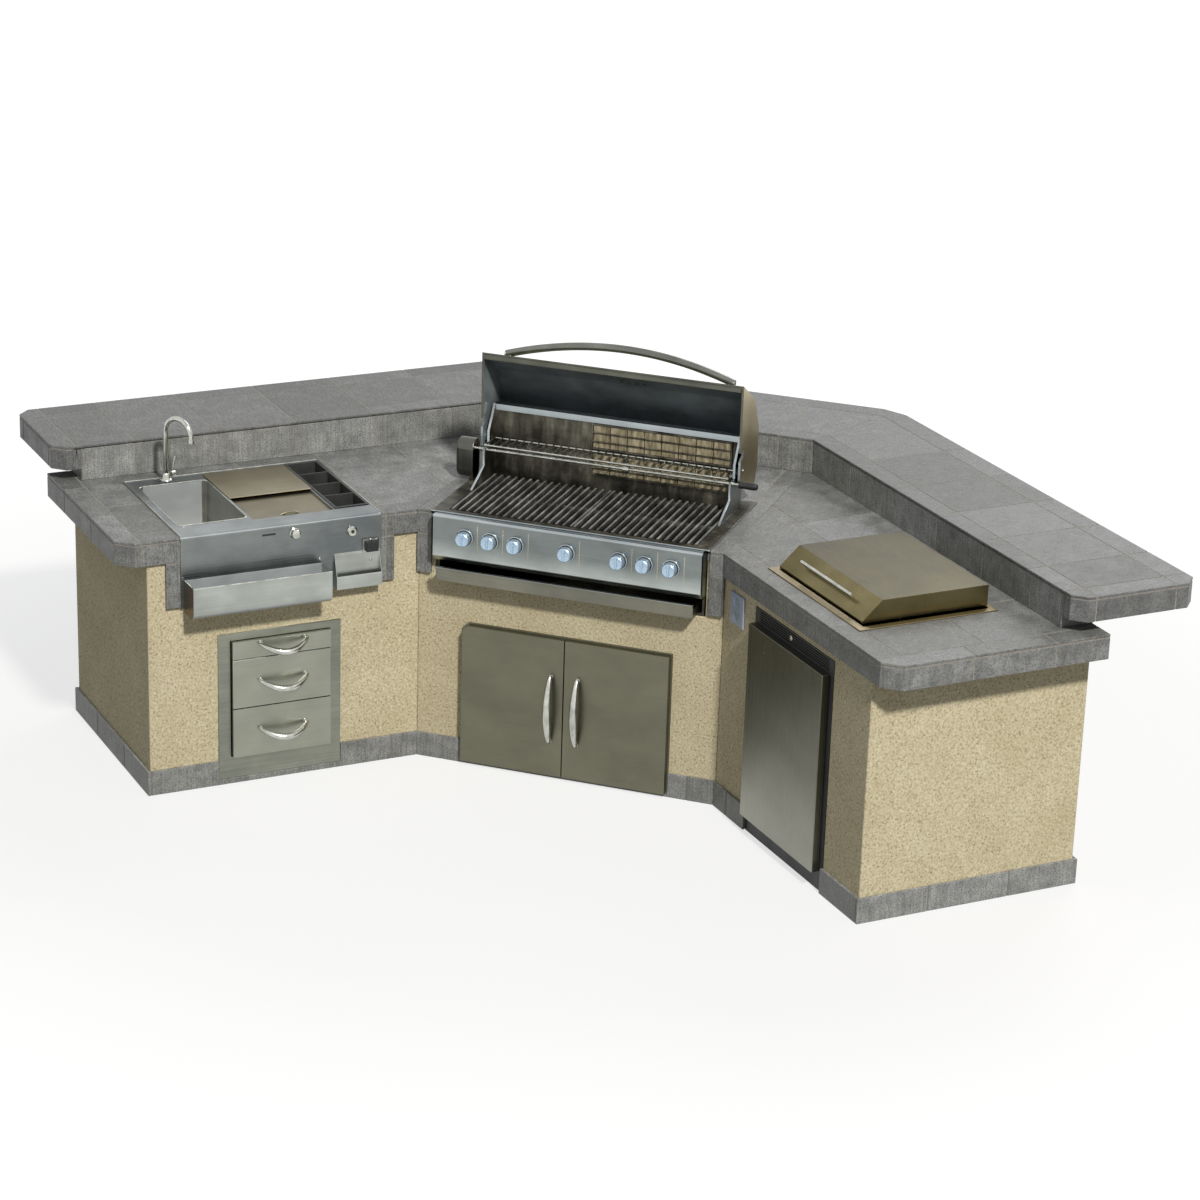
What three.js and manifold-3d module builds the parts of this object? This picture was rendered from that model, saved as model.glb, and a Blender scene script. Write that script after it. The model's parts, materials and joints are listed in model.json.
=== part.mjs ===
// Outdoor kitchen island: three stucco wings in a shallow U, with tiled counters and a raised bar,
// a built-in grill, access doors, drawers, a beverage centre, a fridge and a side burner.
// Millimetres, +Z up. X runs along the middle wing and Y runs back towards the bar.
// The origin is on the floor, under the centre of the middle wing's base. The pieces are drawn from
// the middle of that wing's front, and the island is moved to its origin at the end.
import * as THREE from 'three';
import { mergeVertices } from 'three/addons/utils/BufferGeometryUtils.js';
import Module from 'manifold-3d';

const wasm = await Module();
wasm.setup();

// Driving dimensions of the island. A wing's own plan has u running outwards along its front
// from the inner corner and t running back from the front.
const gap = 0.3;
const cutOver = 40;
const wingAngle = THREE.MathUtils.degToRad(45);
const plan = { middleWidth: 1100, leftLength: 976, rightLength: 990 };
const wall = { thickness: 40, floor: 40 };
const tile = { thickness: 10, proud: 12, dropWidth: 50 };
const plinth = { height: 88, proud: 11 };
const counter = {
  top: 914, slab: 40, edge: 85, leftOverhang: 98, rightOverhang: 115, chamfer: 54, rearInset: 10,
};
const bar = {
  rise: 127, face: 670, middleFace: 918, wall: 130, lip: 1, slab: 12, width: 460, edge: 85,
  rim: 40, leftOverhang: 106, rightOverhang: 98, chamfer: 43, cornerChamfer: 100,
};
const sheet = { thin: 3, flange: 5, wall: 8 };

// Built-in grill, on the middle wing: its width is what the wing leaves beside it. The hood is given
// closed and stands open at rest.
const grill = {
  sideRoom: 68, flangeOver: 17, flangeFront: -18, flangeBack: 520, depth: 500, floor: 676,
  rim: 36, sideFoot: 227, backFront: 440, backRear: 470, backTop: 1175,
  ledge: 14, ledgeDepth: 12, grateSeat: 898, tamerSeat: 846,
};
const saddle = { y: 358, z: 1030, half: 14, rise: 8 };
const pivot = { y: 410, z: 1064, radius: 7, ear: 25 };
const hood = {
  openAngle: THREE.MathUtils.degToRad(110), sideInset: 7, sheet: 8,
  lipY: 130, lipZ: 925, browY: 164, browZ: 1090, crownY: 250, crownZ: 1180, topY: 375, topZ: 1230,
  tailY: 464, tailZ: 1227, heelY: 468, heelZ: 1048,
};
// The handle's height is taken from the hood's lip.
const hoodHandle = { endInset: 60, height: 82, standoff: 24, bow: 70, radius: 14, post: 11 };
const panel = { sideOver: 2, front: -45, bottom: 745, tuck: 20, roll: 9, rollDrop: 3, sheet: 4 };
const knob = {
  height: 846, bezel: 31, bezelDepth: 6, radius: 27, depth: 27, taper: 4, shaft: 4, shaftClear: 0.6,
  valveHalf: 13, valveBack: -8,
};
// Places of the knobs across the panel, as shares of half its width.
const knobShares = [-0.752, -0.562, -0.372, 0.008, 0.3925, 0.5805, 0.775];
const burner = { radius: 13, height: 800, pipe: 9, end: 440, port: 16 };
const tamer = { half: 38, rise: 26, foot: 8, crest: 6, front: 24, rear: 424, rail: 8 };
const grate = { barPitch: 26, bar: 9, barTop: 920, rail: 12, front: 22, rear: 428, centre: 4 };
const rack = { front: 338, rear: 432, z: 1052, sideInset: 6, rod: 4, wire: 2.5, wireCount: 17 };
const spit = { radius: 6, past: 33, gripStart: 3, grip: 13, gripLength: 67 };
const motor = { plate: 12, foot: 60, radius: 36, drop: 70, depth: 52 };
const tray = {
  sideInset: 20, height: 30, rise: 19, front: -62, face: 8, lip: 7, depth: 452, corner: 12,
};

// Double access doors, on the middle wing.
const doors = {
  halfWidth: 381, bottom: 8, top: 525, flange: 8, openHalfWidth: 340, openBottom: 52, openTop: 488,
  reveal: 6, meeting: 1.5, thickness: 20, sleeve: 90, hem: 9, corner: 20,
};
const doorHandle = { leftX: -45, rightX: 52, bottom: 138, top: 391, bow: 34, radius: 8, post: 6 };

// Three drawers, on the left wing, measured along u.
const drawers = {
  inner: 290, outer: 732, bottom: 20, top: 548, flange: 8, openInner: 329, openOuter: 689,
  lowerFoot: 98, middleFoot: 277, upperFoot: 456, upperTop: 522, sleeve: 470, front: 16,
  boxDepth: 430, side: 4, clear: 6, boxDrop: 26, reveal: 1.5,
};
// Their handles: how far the ends lie in from the opening's sides, and the middles from each top.
const drawerHandle = {
  inner: 90, outer: 95, lowerDrop: 78, middleDrop: 80, upperDrop: 12, bow: 45, sag: 26, radius: 7,
  post: 6,
};

// Beverage centre, on the left wing, measured along u and t.
const deck = {
  inner: 146, outer: 863, front: -16, back: 592, apronBottom: 668, plate: 4, rest: 5, wall: 3,
};
const basin = { inner: 590, outer: 831, front: 95, back: 515, bottom: 730, drain: 24 };
const iceBin = { inner: 285, outer: 578, front: 70, back: 565, bottom: 640, split: 300 };
const iceLid = {
  sheet: 4, ledge: 6, drop: 8, overlap: 6, clear: 0.6, pull: 5, pullHalf: 34, pullRadius: 3.2, rest: 4,
};
const caddy = {
  inner: 158, outer: 275, front: 82, back: 572, bottom: 800, wellCount: 4, wall: 4, rest: 4,
  clear: 0.9, depth: 62,
};
const faucet = {
  u: 720, t: 551, base: 22, baseHeight: 26, tube: 9, height: 238, reach: 120, drop: 74,
  lean: THREE.MathUtils.degToRad(-28),
};
// Places along the spout's arch, forward and down, as shares of its reach.
const archShares = [[0, 0.5], [0.16, 0.14], [0.5, 0], [0.84, 0.14], [1, 0.5]];
const lever = { up: 16, length: 62, radius: 5, hub: 11, hubLength: 20, rise: 14 };
const rail = { inner: 360, outer: 852, front: -110, bottom: 650, top: 765, sheet: 3, corner: 34 };
const opener = {
  inner: 156, outer: 216, back: 3, boxFront: -44, boxInner: 152, boxOuter: 318, boxBottom: 668,
  boxLip: 706, boxTop: 792, sheet: 3, clawBottom: 790, clawTop: 823, clawFront: -40, slot: 9, top: 832,
};
const fitting = { knobU: 460, knobZ: 884, knobR: 15, knobOut: 20, lockU: 254, lockZ: 866, lockR: 12 };

// Fridge, side burner and outlet, on the right wing, measured along u and t.
const fridge = {
  inner: 224, outer: 752, top: 803, wall: 32, back: 570, ventBottom: 754, ventCount: 5,
  doorInner: 230, doorOuter: 728, doorBottom: 64, doorTop: 750, door: 28,
  cabinetTop: 722, cabinetBottom: 92, shelf: 400, shelfSheet: 5, shelfSlat: 4, shelfClear: 0.9,
  slatCount: 8, runner: 7,
};
const sideBurner = {
  inner: 190, outer: 800, front: 56, back: 565, panInner: 215, panOuter: 775, panFront: 84,
  panBack: 545, bottom: 820, wall: 4, plate: 4,
};
const sideLid = {
  inner: 205, outer: 752, front: 92, shoulder: 162, back: 552, brow: 925, top: 989, sheet: 4,
};
const sideGrip = { inner: 312, outer: 645, radius: 6, standoff: 22, post: 5 };
const trivet = { half: 120, bar: 10, top: 914, ring: 46 };
const head = { radius: 42, bottom: 842, height: 26, stem: 18, cap: 34 };
const outlet = { inner: 60, outer: 151, bottom: 693, top: 802, out: 8, slotHalf: 17, slotHigh: 28 };

const roundSides = 16;
const tubeSides = 8;
const handleSteps = 12;
const spoutSteps = 22;
const liftSteps = 18;
// Places along a bowed handle, as shares of half its length.
const liftShares = [-1, -0.8, -0.5, 0, 0.5, 0.8, 1];
const handleShares = [-1, -0.75, -0.4, 0, 0.4, 0.75, 1];
// How far the spit's slot runs on past the spit, as shares of its own half width.
const slotShares = { along: 4, out: 2 };

// Values that follow from the driving dimensions.
const halfWidth = plan.middleWidth / 2;
const sinWing = Math.sin(wingAngle);
const cosWing = Math.cos(wingAngle);
const barTop = counter.top + bar.rise;
const barUnder = barTop - bar.slab;
const slabUnder = counter.top - counter.slab;
const edgeUnder = counter.top - counter.edge;
const depthWing = bar.face + bar.wall;
const depthMiddle = bar.middleFace + bar.wall;
const wings = [
  { name: 'left', side: -1, length: plan.leftLength, counterEnd: counter.leftOverhang,
    barEnd: bar.leftOverhang },
  { name: 'right', side: 1, length: plan.rightLength, counterEnd: counter.rightOverhang,
    barEnd: bar.rightOverhang },
];
const grillHalf = halfWidth - grill.sideRoom;
const flangeHalf = grillHalf + grill.flangeOver;
const openHalf = grillHalf - grill.rim;
const hoodHalf = grillHalf - hood.sideInset;
const handleHalf = hoodHalf - hoodHandle.endInset;
const panelHalf = grillHalf + panel.sideOver;
const knobPlaces = knobShares.map((share) => share * panelHalf);
const spitLeft = -hoodHalf - spit.past;
const spitRight = hoodHalf + spit.gripStart;
const drawerLevels = [drawers.lowerFoot, drawers.middleFoot, drawers.upperFoot, drawers.upperTop];
const leftSide = -1;
const rightSide = 1;

const finish = (color, roughness, metalness) =>
  new THREE.MeshStandardMaterial({ color, roughness, metalness });
const stucco = finish('#cdbf9a', 0.95, 0);
const stoneTile = finish('#7d7f82', 0.7, 0);
const steel = finish('#8d8f86', 0.35, 1);
const darkSteel = finish('#4a4c4a', 0.45, 1);
const castIron = finish('#2e2e2d', 0.7, 0.6);
const knobMetal = finish('#9fb3c4', 0.3, 0.8);
const blackPlastic = finish('#1d1e1f', 0.6, 0);
const whitePlastic = finish('#d9dcdd', 0.5, 0);

// A closed solid from any closed three.js geometry.
function solid(geometry) {
  geometry.deleteAttribute('normal');
  geometry.deleteAttribute('uv');
  const merged = mergeVertices(geometry);
  const corners = Array.from(merged.index.array);
  const faces = [];
  for (let i = 0; i < corners.length; i += 3) {
    const [a, b, c] = corners.slice(i, i + 3);
    if (a !== b && b !== c && c !== a) {
      faces.push(a, b, c);
    }
  }
  return new wasm.Manifold(new wasm.Mesh({
    numProp: 3,
    vertProperties: new Float32Array(merged.attributes.position.array),
    triVerts: new Uint32Array(faces),
  }));
}

const join = (first, ...others) => others.reduce((sum, other) => sum.add(other), first);
const cut = (first, ...others) => others.reduce((rest, other) => rest.subtract(other), first);

function boxShape(x0, x1, y0, y1, z0, z1) {
  const shape = new THREE.BoxGeometry(Math.abs(x1 - x0), Math.abs(y1 - y0), Math.abs(z1 - z0));
  return shape.translate((x0 + x1) / 2, (y0 + y1) / 2, (z0 + z1) / 2);
}

const box = (...corners) => solid(boxShape(...corners));

const outline = (points) => new THREE.Shape(points.map(([x, y]) => new THREE.Vector2(x, y)));

const extrude = (shape, depth) => new THREE.ExtrudeGeometry(shape, {
  depth, bevelEnabled: false, curveSegments: 6,
});

// Upright prism over an outline in x and y.
const prismShape = (points, z0, z1) => extrude(outline(points), z1 - z0).translate(0, 0, z0);
const prism = (points, z0, z1) => solid(prismShape(points, z0, z1));

// Bar along x whose section is drawn in y and z.
function alongX(shape, x0, x1) {
  const turn = new THREE.Matrix4().makeBasis(
    new THREE.Vector3(0, 1, 0), new THREE.Vector3(0, 0, 1), new THREE.Vector3(1, 0, 0));
  return extrude(shape, x1 - x0).applyMatrix4(turn).translate(x0, 0, 0);
}

// Bar along y whose section is drawn in x and z.
function alongY(shape, y0, y1) {
  const turn = new THREE.Matrix4().makeBasis(
    new THREE.Vector3(1, 0, 0), new THREE.Vector3(0, 0, 1), new THREE.Vector3(0, -1, 0));
  return extrude(shape, y1 - y0).applyMatrix4(turn).translate(0, y1, 0);
}

// Round bar from one point to another.
function rod(from, to, radius, sides = tubeSides) {
  const start = new THREE.Vector3(...from);
  const reach = new THREE.Vector3(...to).sub(start);
  const geometry = new THREE.CylinderGeometry(radius, radius, reach.length(), sides);
  geometry.translate(0, reach.length() / 2, 0);
  const turn = new THREE.Quaternion().setFromUnitVectors(
    new THREE.Vector3(0, 1, 0), reach.normalize());
  return solid(geometry.applyQuaternion(turn).translate(...from));
}

// Round bar along a smooth curve through some points.
function tube(points, radius, steps, sides = tubeSides) {
  const path = new THREE.CatmullRomCurve3(points.map((point) => new THREE.Vector3(...point)));
  const ring = new THREE.Shape();
  for (let i = 0; i < sides; i += 1) {
    const turn = (2 * Math.PI * i) / sides;
    const place = [radius * Math.cos(turn), radius * Math.sin(turn)];
    if (i === 0) {
      ring.moveTo(...place);
    } else {
      ring.lineTo(...place);
    }
  }
  ring.closePath();
  return solid(new THREE.ExtrudeGeometry(ring, { steps, bevelEnabled: false, extrudePath: path }));
}

// Turned solid: the profile is a list of radius and distance along the axis.
function turned(profile, sides = roundSides) {
  return new THREE.LatheGeometry(profile.map(([r, along]) => new THREE.Vector2(r, along)), sides);
}

function add(parent, name, body, material) {
  const { vertProperties, triVerts } = body.getMesh();
  const geometry = new THREE.BufferGeometry();
  geometry.setAttribute('position', new THREE.BufferAttribute(vertProperties, 3));
  geometry.setIndex(new THREE.BufferAttribute(triVerts, 1));
  geometry.computeVertexNormals();
  const mesh = new THREE.Mesh(geometry, material);
  mesh.name = name;
  parent.add(mesh);
  return mesh;
}

// The point of a wing's plan where its line at depth t meets the middle wing's line at depth y.
const bend = (t, y) => [(t * cosWing - y) / sinWing, t];
// The point of a wing's plan at depth t that lies `out` beyond the seam with the middle wing.
const seamAt = (t, out = 0) => [(out - t * sinWing) / cosWing, t];
// The same for a point on the seam at the middle wing's depth y.
const seamBack = (y) => [-y * sinWing, y * cosWing];
const toSide = (side, points) => points.map(([u, t]) => [side * u, t]);
const sideBox = (side, u0, u1, ...rest) => box(side * u0, side * u1, ...rest);

function wingMatrix(side) {
  const matrix = new THREE.Matrix4().makeRotationZ(-side * wingAngle);
  return matrix.setPosition(side * halfWidth, 0, 0);
}

function toIsland(side, [u, t]) {
  const point = new THREE.Vector3(side * u, t, 0).applyMatrix4(wingMatrix(side));
  return [point.x, point.y];
}

const island = new THREE.Group();
island.position.y = -depthMiddle / 2;
const wingGroups = {};
for (const wing of wings) {
  const group = new THREE.Group();
  group.position.set(wing.side * halfWidth, 0, 0);
  group.rotation.z = -wing.side * wingAngle;
  island.add(group);
  wingGroups[wing.name] = group;
}
const left = wingGroups.left;
const right = wingGroups.right;

// Stucco shell of a side wing: floor, front, end and seam walls, and the taller wall of the bar.
function wingBase(wing) {
  const { side, length } = wing;
  const rear = bar.face + tile.thickness + gap;
  const middleRear = bar.middleFace + tile.thickness + gap;
  const outer = [[0, 0], [length, 0], [length, depthWing], bend(depthWing, depthMiddle),
    seamBack(depthMiddle)];
  const inner = [seamAt(wall.thickness, wall.thickness), [length - wall.thickness, wall.thickness],
    [length - wall.thickness, bar.face], seamAt(bar.face, wall.thickness)];
  const barWall = [[length, rear], [length, depthWing], bend(depthWing, depthMiddle),
    seamBack(depthMiddle), seamBack(middleRear), bend(rear, middleRear)];
  const shell = cut(
    prism(toSide(side, outer), 0, slabUnder - gap),
    prism(toSide(side, inner), wall.floor, counter.top));
  return join(shell, prism(toSide(side, barWall), slabUnder - wall.thickness, barUnder - gap));
}

function middleBase() {
  const edge = halfWidth - gap;
  const inside = edge - wall.thickness;
  const rear = bar.middleFace + tile.thickness + gap;
  const shell = cut(
    box(-edge, edge, 0, depthMiddle, 0, slabUnder - gap),
    box(-inside, inside, wall.thickness, bar.middleFace, wall.floor, counter.top),
    box(-panelHalf - sheet.thin, panelHalf + sheet.thin, -cutOver, wall.thickness + gap,
      grill.floor - sheet.thin, counter.top),
    box(-doors.openHalfWidth - sheet.thin - gap, doors.openHalfWidth + sheet.thin + gap, -cutOver,
      wall.thickness + gap, doors.openBottom - sheet.thin - gap, doors.openTop + sheet.thin + gap));
  const barWall = box(-edge, edge, rear, depthMiddle, slabUnder - wall.thickness, barUnder - gap);
  return join(shell, barWall);
}

function leftBase() {
  const cutBox = sideBox(leftSide, drawers.openInner - sheet.thin - gap,
    drawers.openOuter + sheet.thin + gap, -cutOver, wall.thickness + gap,
    drawers.lowerFoot - sheet.thin - gap, drawers.upperTop + sheet.thin + gap);
  return cut(wingBase(wings[0]), cutBox);
}

function rightBase() {
  const cutBox = sideBox(rightSide, fridge.inner - gap, fridge.outer + gap, -cutOver,
    fridge.back + gap, -cutOver, fridge.top + gap);
  const socket = sideBox(rightSide, outlet.inner + outlet.out, outlet.outer - outlet.out, -cutOver,
    wall.thickness + gap, outlet.bottom + outlet.out, outlet.top - outlet.out);
  return cut(wingBase(wings[1]), cutBox, socket);
}

// Outline of the whole island's foot, moved out by `out`.
function footprint(out) {
  const points = [];
  for (const { side, length } of wings) {
    const own = [bend(-out, -out), [length + out, -out], [length + out, depthWing + out],
      bend(depthWing + out, depthMiddle + out)].map((point) => toIsland(side, point));
    points.push(...(side === rightSide ? own : own.reverse()));
  }
  return points;
}

function plinthTiles() {
  const ring = cut(prism(footprint(plinth.proud), 0, plinth.height),
    prism(footprint(gap), -cutOver, plinth.height + cutOver));
  const doorCut = box(-doors.halfWidth - gap, doors.halfWidth + gap, -cutOver, 0,
    doors.bottom - gap, plinth.height + cutOver);
  const drawerCut = boxShape(-drawers.inner + gap, -drawers.outer - gap, -cutOver, 0,
    drawers.bottom - gap, plinth.height + cutOver).applyMatrix4(wingMatrix(leftSide));
  const fridgeCut = boxShape(fridge.inner - gap, fridge.outer + gap, -cutOver, cutOver,
    -cutOver, plinth.height + cutOver).applyMatrix4(wingMatrix(rightSide));
  return cut(ring, doorCut, solid(drawerCut), solid(fridgeCut));
}

// Tiled counter of a side wing, with its front edge and the block that overhangs its end.
function wingCounter(wing) {
  const { side, length, counterEnd } = wing;
  const end = length + counterEnd;
  const front = -tile.proud;
  const rear = bar.face + tile.thickness;
  const middleRear = bar.middleFace + tile.thickness;
  const cornerBack = depthWing - counter.rearInset;
  const top = [seamAt(front), [end - counter.chamfer, front], [end, front + counter.chamfer],
    [end, cornerBack], [length + gap, cornerBack], [length + gap, rear], bend(rear, middleRear),
    seamBack(middleRear)];
  const edge = [seamAt(front), [length + gap, front], [length + gap, -gap], seamAt(-gap)];
  const block = [[length + gap, front], [end - counter.chamfer, front],
    [end, front + counter.chamfer], [end, cornerBack], [length + gap, cornerBack]];
  return join(
    prism(toSide(side, top), slabUnder, counter.top),
    prism(toSide(side, edge), edgeUnder, slabUnder + wall.thickness / 2),
    prism(toSide(side, block), edgeUnder, counter.top));
}

function dropTile(side, u0, u1, bottom) {
  return sideBox(side, u0, u1, -tile.proud, -gap, bottom, slabUnder + wall.thickness / 2);
}

function leftCounter() {
  const whole = join(wingCounter(wings[0]),
    dropTile(leftSide, deck.inner - gap - tile.dropWidth, deck.inner - gap, deck.apronBottom),
    dropTile(leftSide, deck.outer + gap, deck.outer + gap + tile.dropWidth, deck.apronBottom));
  return cut(whole,
    sideBox(leftSide, deck.inner - gap, deck.outer + gap, -cutOver, 0, 0, counter.top + cutOver),
    sideBox(leftSide, deck.inner + deck.rest - gap, deck.outer - deck.rest + gap, -cutOver,
      deck.back - deck.rest + gap, 0, counter.top + cutOver));
}

function middleCounter() {
  const edge = halfWidth - gap;
  const front = -tile.proud;
  const seamFront = -tile.proud / cosWing;
  const corner = toIsland(rightSide, bend(front, front))[0];
  const rear = bar.middleFace + tile.thickness;
  const cheek = halfWidth - tile.dropWidth;
  const hole = panelHalf + sheet.thin;
  const top = [[-edge, seamFront], [-corner, front], [corner, front], [edge, seamFront],
    [edge, rear], [-edge, rear]];
  const band = [[-edge, seamFront], [-corner, front], [corner, front], [edge, seamFront],
    [edge, -gap], [-edge, -gap]];
  const whole = join(prism(top, slabUnder, counter.top),
    prism(band, grill.floor + tile.thickness, slabUnder + wall.thickness / 2));
  return cut(whole,
    box(-cheek, cheek, -cutOver, 0, 0, counter.top + cutOver),
    box(-hole, hole, -cutOver, grill.depth + sheet.thin, 0, counter.top + cutOver));
}

function rightCounter() {
  const s = sideBurner;
  return cut(wingCounter(wings[1]), sideBox(rightSide, s.panInner - s.wall - gap,
    s.panOuter + s.wall + gap, s.panFront - s.wall - gap, s.panBack + s.wall + gap, 0,
    counter.top + cutOver));
}

// Face tiles of the rise between counter and bar, returned round the free end of a wing.
function wingRiser(wing) {
  const { side, length } = wing;
  const rear = bar.face + tile.thickness;
  const end = length + gap + tile.thickness;
  const back = depthWing - counter.rearInset;
  const points = [bend(bar.face, bar.middleFace), [end, bar.face], [end, back], [length + gap, back],
    [length + gap, rear], bend(rear, bar.middleFace + tile.thickness)];
  return prism(toSide(side, points), counter.top + gap, barUnder - gap);
}

function middleRiser() {
  const near = toIsland(rightSide, bend(bar.face, bar.middleFace))[0] - gap;
  const rear = bar.middleFace + tile.thickness;
  const far = toIsland(rightSide, bend(bar.face + tile.thickness, rear))[0] - gap;
  return prism([[-near, bar.middleFace], [near, bar.middleFace], [far, rear], [-far, rear]],
    counter.top + gap, barUnder - gap);
}

// The bar tops meet on a mitre, and a chamfer trims the outer corner at its end.
const barFront = bar.face - bar.lip;
const middleBarFront = bar.middleFace - bar.lip;
const barBack = barFront + bar.width;
const middleBarBack = middleBarFront + bar.width;
const trimBack = bar.cornerChamfer / 2 / Math.cos(wingAngle / 2);

function barCorner() {
  const [u, t] = bend(barBack, middleBarBack);
  const wingTrim = [u + trimBack, t];
  const middleTrim = [u - trimBack * cosWing, t - trimBack * sinWing];
  const middle = [(wingTrim[0] + middleTrim[0]) / 2, (wingTrim[1] + middleTrim[1]) / 2];
  return { wingTrim, middleTrim, middle };
}

function wingBar(wing) {
  const { side, length, barEnd } = wing;
  const end = length + barEnd;
  const { wingTrim, middleTrim, middle } = barCorner();
  const outer = [bend(barFront, middleBarFront), [end - bar.chamfer, barFront],
    [end, barFront + bar.chamfer], [end, barBack - bar.chamfer], [end - bar.chamfer, barBack],
    wingTrim, middle];
  const past = middleTrim[0] - cutOver;
  const block = length + gap * 2 + tile.thickness;
  const rimIn = [[past, barFront - cutOver], [block, barFront - cutOver],
    [block, barBack - bar.rim], [past, barBack - bar.rim]];
  const rim = cut(prism(toSide(side, outer), barTop - bar.edge, barUnder + bar.slab / 2),
    prism(toSide(side, rimIn), 0, barTop + cutOver));
  return join(prism(toSide(side, outer), barUnder, barTop), rim);
}

function middleBar() {
  const corner = barCorner();
  const near = toIsland(rightSide, bend(barFront, middleBarFront))[0] - gap;
  const [trimX, trimY] = toIsland(rightSide, corner.middleTrim);
  const [middleX, middleY] = toIsland(rightSide, corner.middle);
  const half = [[near, middleBarFront], [middleX - gap, middleY], [trimX - gap, trimY]];
  const outer = [...half, ...half.map(([x, y]) => [-x, y]).reverse()];
  const rim = cut(prism(outer, barTop - bar.edge, barUnder + bar.slab / 2),
    box(-middleX, middleX, -cutOver, middleBarBack - bar.rim, 0, barTop + cutOver));
  return join(prism(outer, barUnder, barTop), rim);
}

add(left, 'left_base', leftBase(), stucco);
add(island, 'middle_base', middleBase(), stucco);
add(right, 'right_base', rightBase(), stucco);
add(island, 'plinth_tiles', plinthTiles(), stoneTile);
add(left, 'left_counter', leftCounter(), stoneTile);
add(island, 'middle_counter', middleCounter(), stoneTile);
add(right, 'right_counter', rightCounter(), stoneTile);
add(left, 'left_riser_tiles', wingRiser(wings[0]), stoneTile);
add(island, 'middle_riser_tiles', middleRiser(), stoneTile);
add(right, 'right_riser_tiles', wingRiser(wings[1]), stoneTile);
add(left, 'left_bar_top', wingBar(wings[0]), stoneTile);
add(island, 'middle_bar_top', middleBar(), stoneTile);
add(right, 'right_bar_top', wingBar(wings[1]), stoneTile);

// Firebox with its flange, seat ledges, fixed back and side cheeks with pivots and spit saddles.
function grillHousing() {
  const g = grill;
  const w = sheet.wall;
  const topFace = counter.top + gap;
  const flangeTop = topFace + sheet.flange;
  const inside = grillHalf - w;
  const shell = cut(
    box(-grillHalf, grillHalf, sheet.thin, g.depth, g.floor, flangeTop),
    box(-inside, inside, sheet.thin + w, g.depth - w, g.floor + w, flangeTop + cutOver),
    box(-inside, inside, -cutOver, sheet.thin + w + gap, g.floor + w, panel.bottom));
  const flange = cut(
    box(-flangeHalf, flangeHalf, g.flangeFront, g.flangeBack, topFace, flangeTop),
    box(-openHalf, openHalf, sheet.thin + w, g.backFront, topFace - cutOver,
      flangeTop + cutOver));
  const frontWall = [sheet.thin + w - gap, sheet.thin + w + g.ledgeDepth];
  const ledges = [g.tamerSeat, g.grateSeat].flatMap((seat) => [
    box(-inside - gap, inside + gap, ...frontWall, seat - g.ledge, seat),
    box(-inside - gap, inside + gap, g.backFront - g.ledgeDepth, g.backFront + w, seat - g.ledge, seat),
  ]);
  const back = box(-openHalf - w, openHalf + w, g.backFront, g.backRear,
    g.tamerSeat - g.ledge, g.backTop);
  const brace = box(-inside - gap, inside + gap, g.backFront, g.backFront + w, g.tamerSeat - g.ledge,
    flangeTop);
  const side = sideCheek(flangeTop);
  const cheekLeft = solid(alongX(side, -openHalf - w, -openHalf));
  const cheekRight = solid(alongX(side, openHalf, openHalf + w));
  const pinEnd = hoodHalf - hood.sheet - gap;
  const pins = [-1, 1].map((end) => rod([end * openHalf, pivot.y, pivot.z],
    [end * pinEnd, pivot.y, pivot.z], pivot.ear - w));
  const axles = [-1, 1].map((end) => rod([end * openHalf, pivot.y, pivot.z],
    [end * (hoodHalf + sheet.thin), pivot.y, pivot.z], pivot.radius, roundSides));
  const holes = knobPlaces.map((x) => rod([x, -cutOver, burner.height],
    [x, cutOver, burner.height], burner.port));
  const body = join(shell, flange, ...ledges, back, brace, cheekLeft, cheekRight, ...pins, ...axles);
  return cut(body, ...holes);
}

// Section of a fixed side cheek: it climbs to the spit saddle, then to the pivot and the back.
function sideCheek(foot) {
  const s = saddle;
  const notch = spit.radius + gap;
  const climb = (foot + s.z) / 2;
  const under = foot - sheet.flange;
  return outline([
    [grill.sideFoot, under], [grill.sideFoot, foot], [s.y - s.half, climb],
    [s.y - s.half, s.z + s.rise], [s.y - notch, s.z + s.rise], [s.y - notch, s.z - notch],
    [s.y + notch, s.z - notch], [s.y + notch, s.z + s.rise], [s.y + s.half, s.z + s.rise],
    [s.y + s.half, s.z - s.half], [pivot.y - pivot.ear, s.z - s.half],
    [pivot.y - pivot.ear, pivot.z + pivot.ear], [grill.backFront, grill.backTop],
    [grill.backRear, grill.backTop], [grill.backRear, under],
  ]);
}

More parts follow.
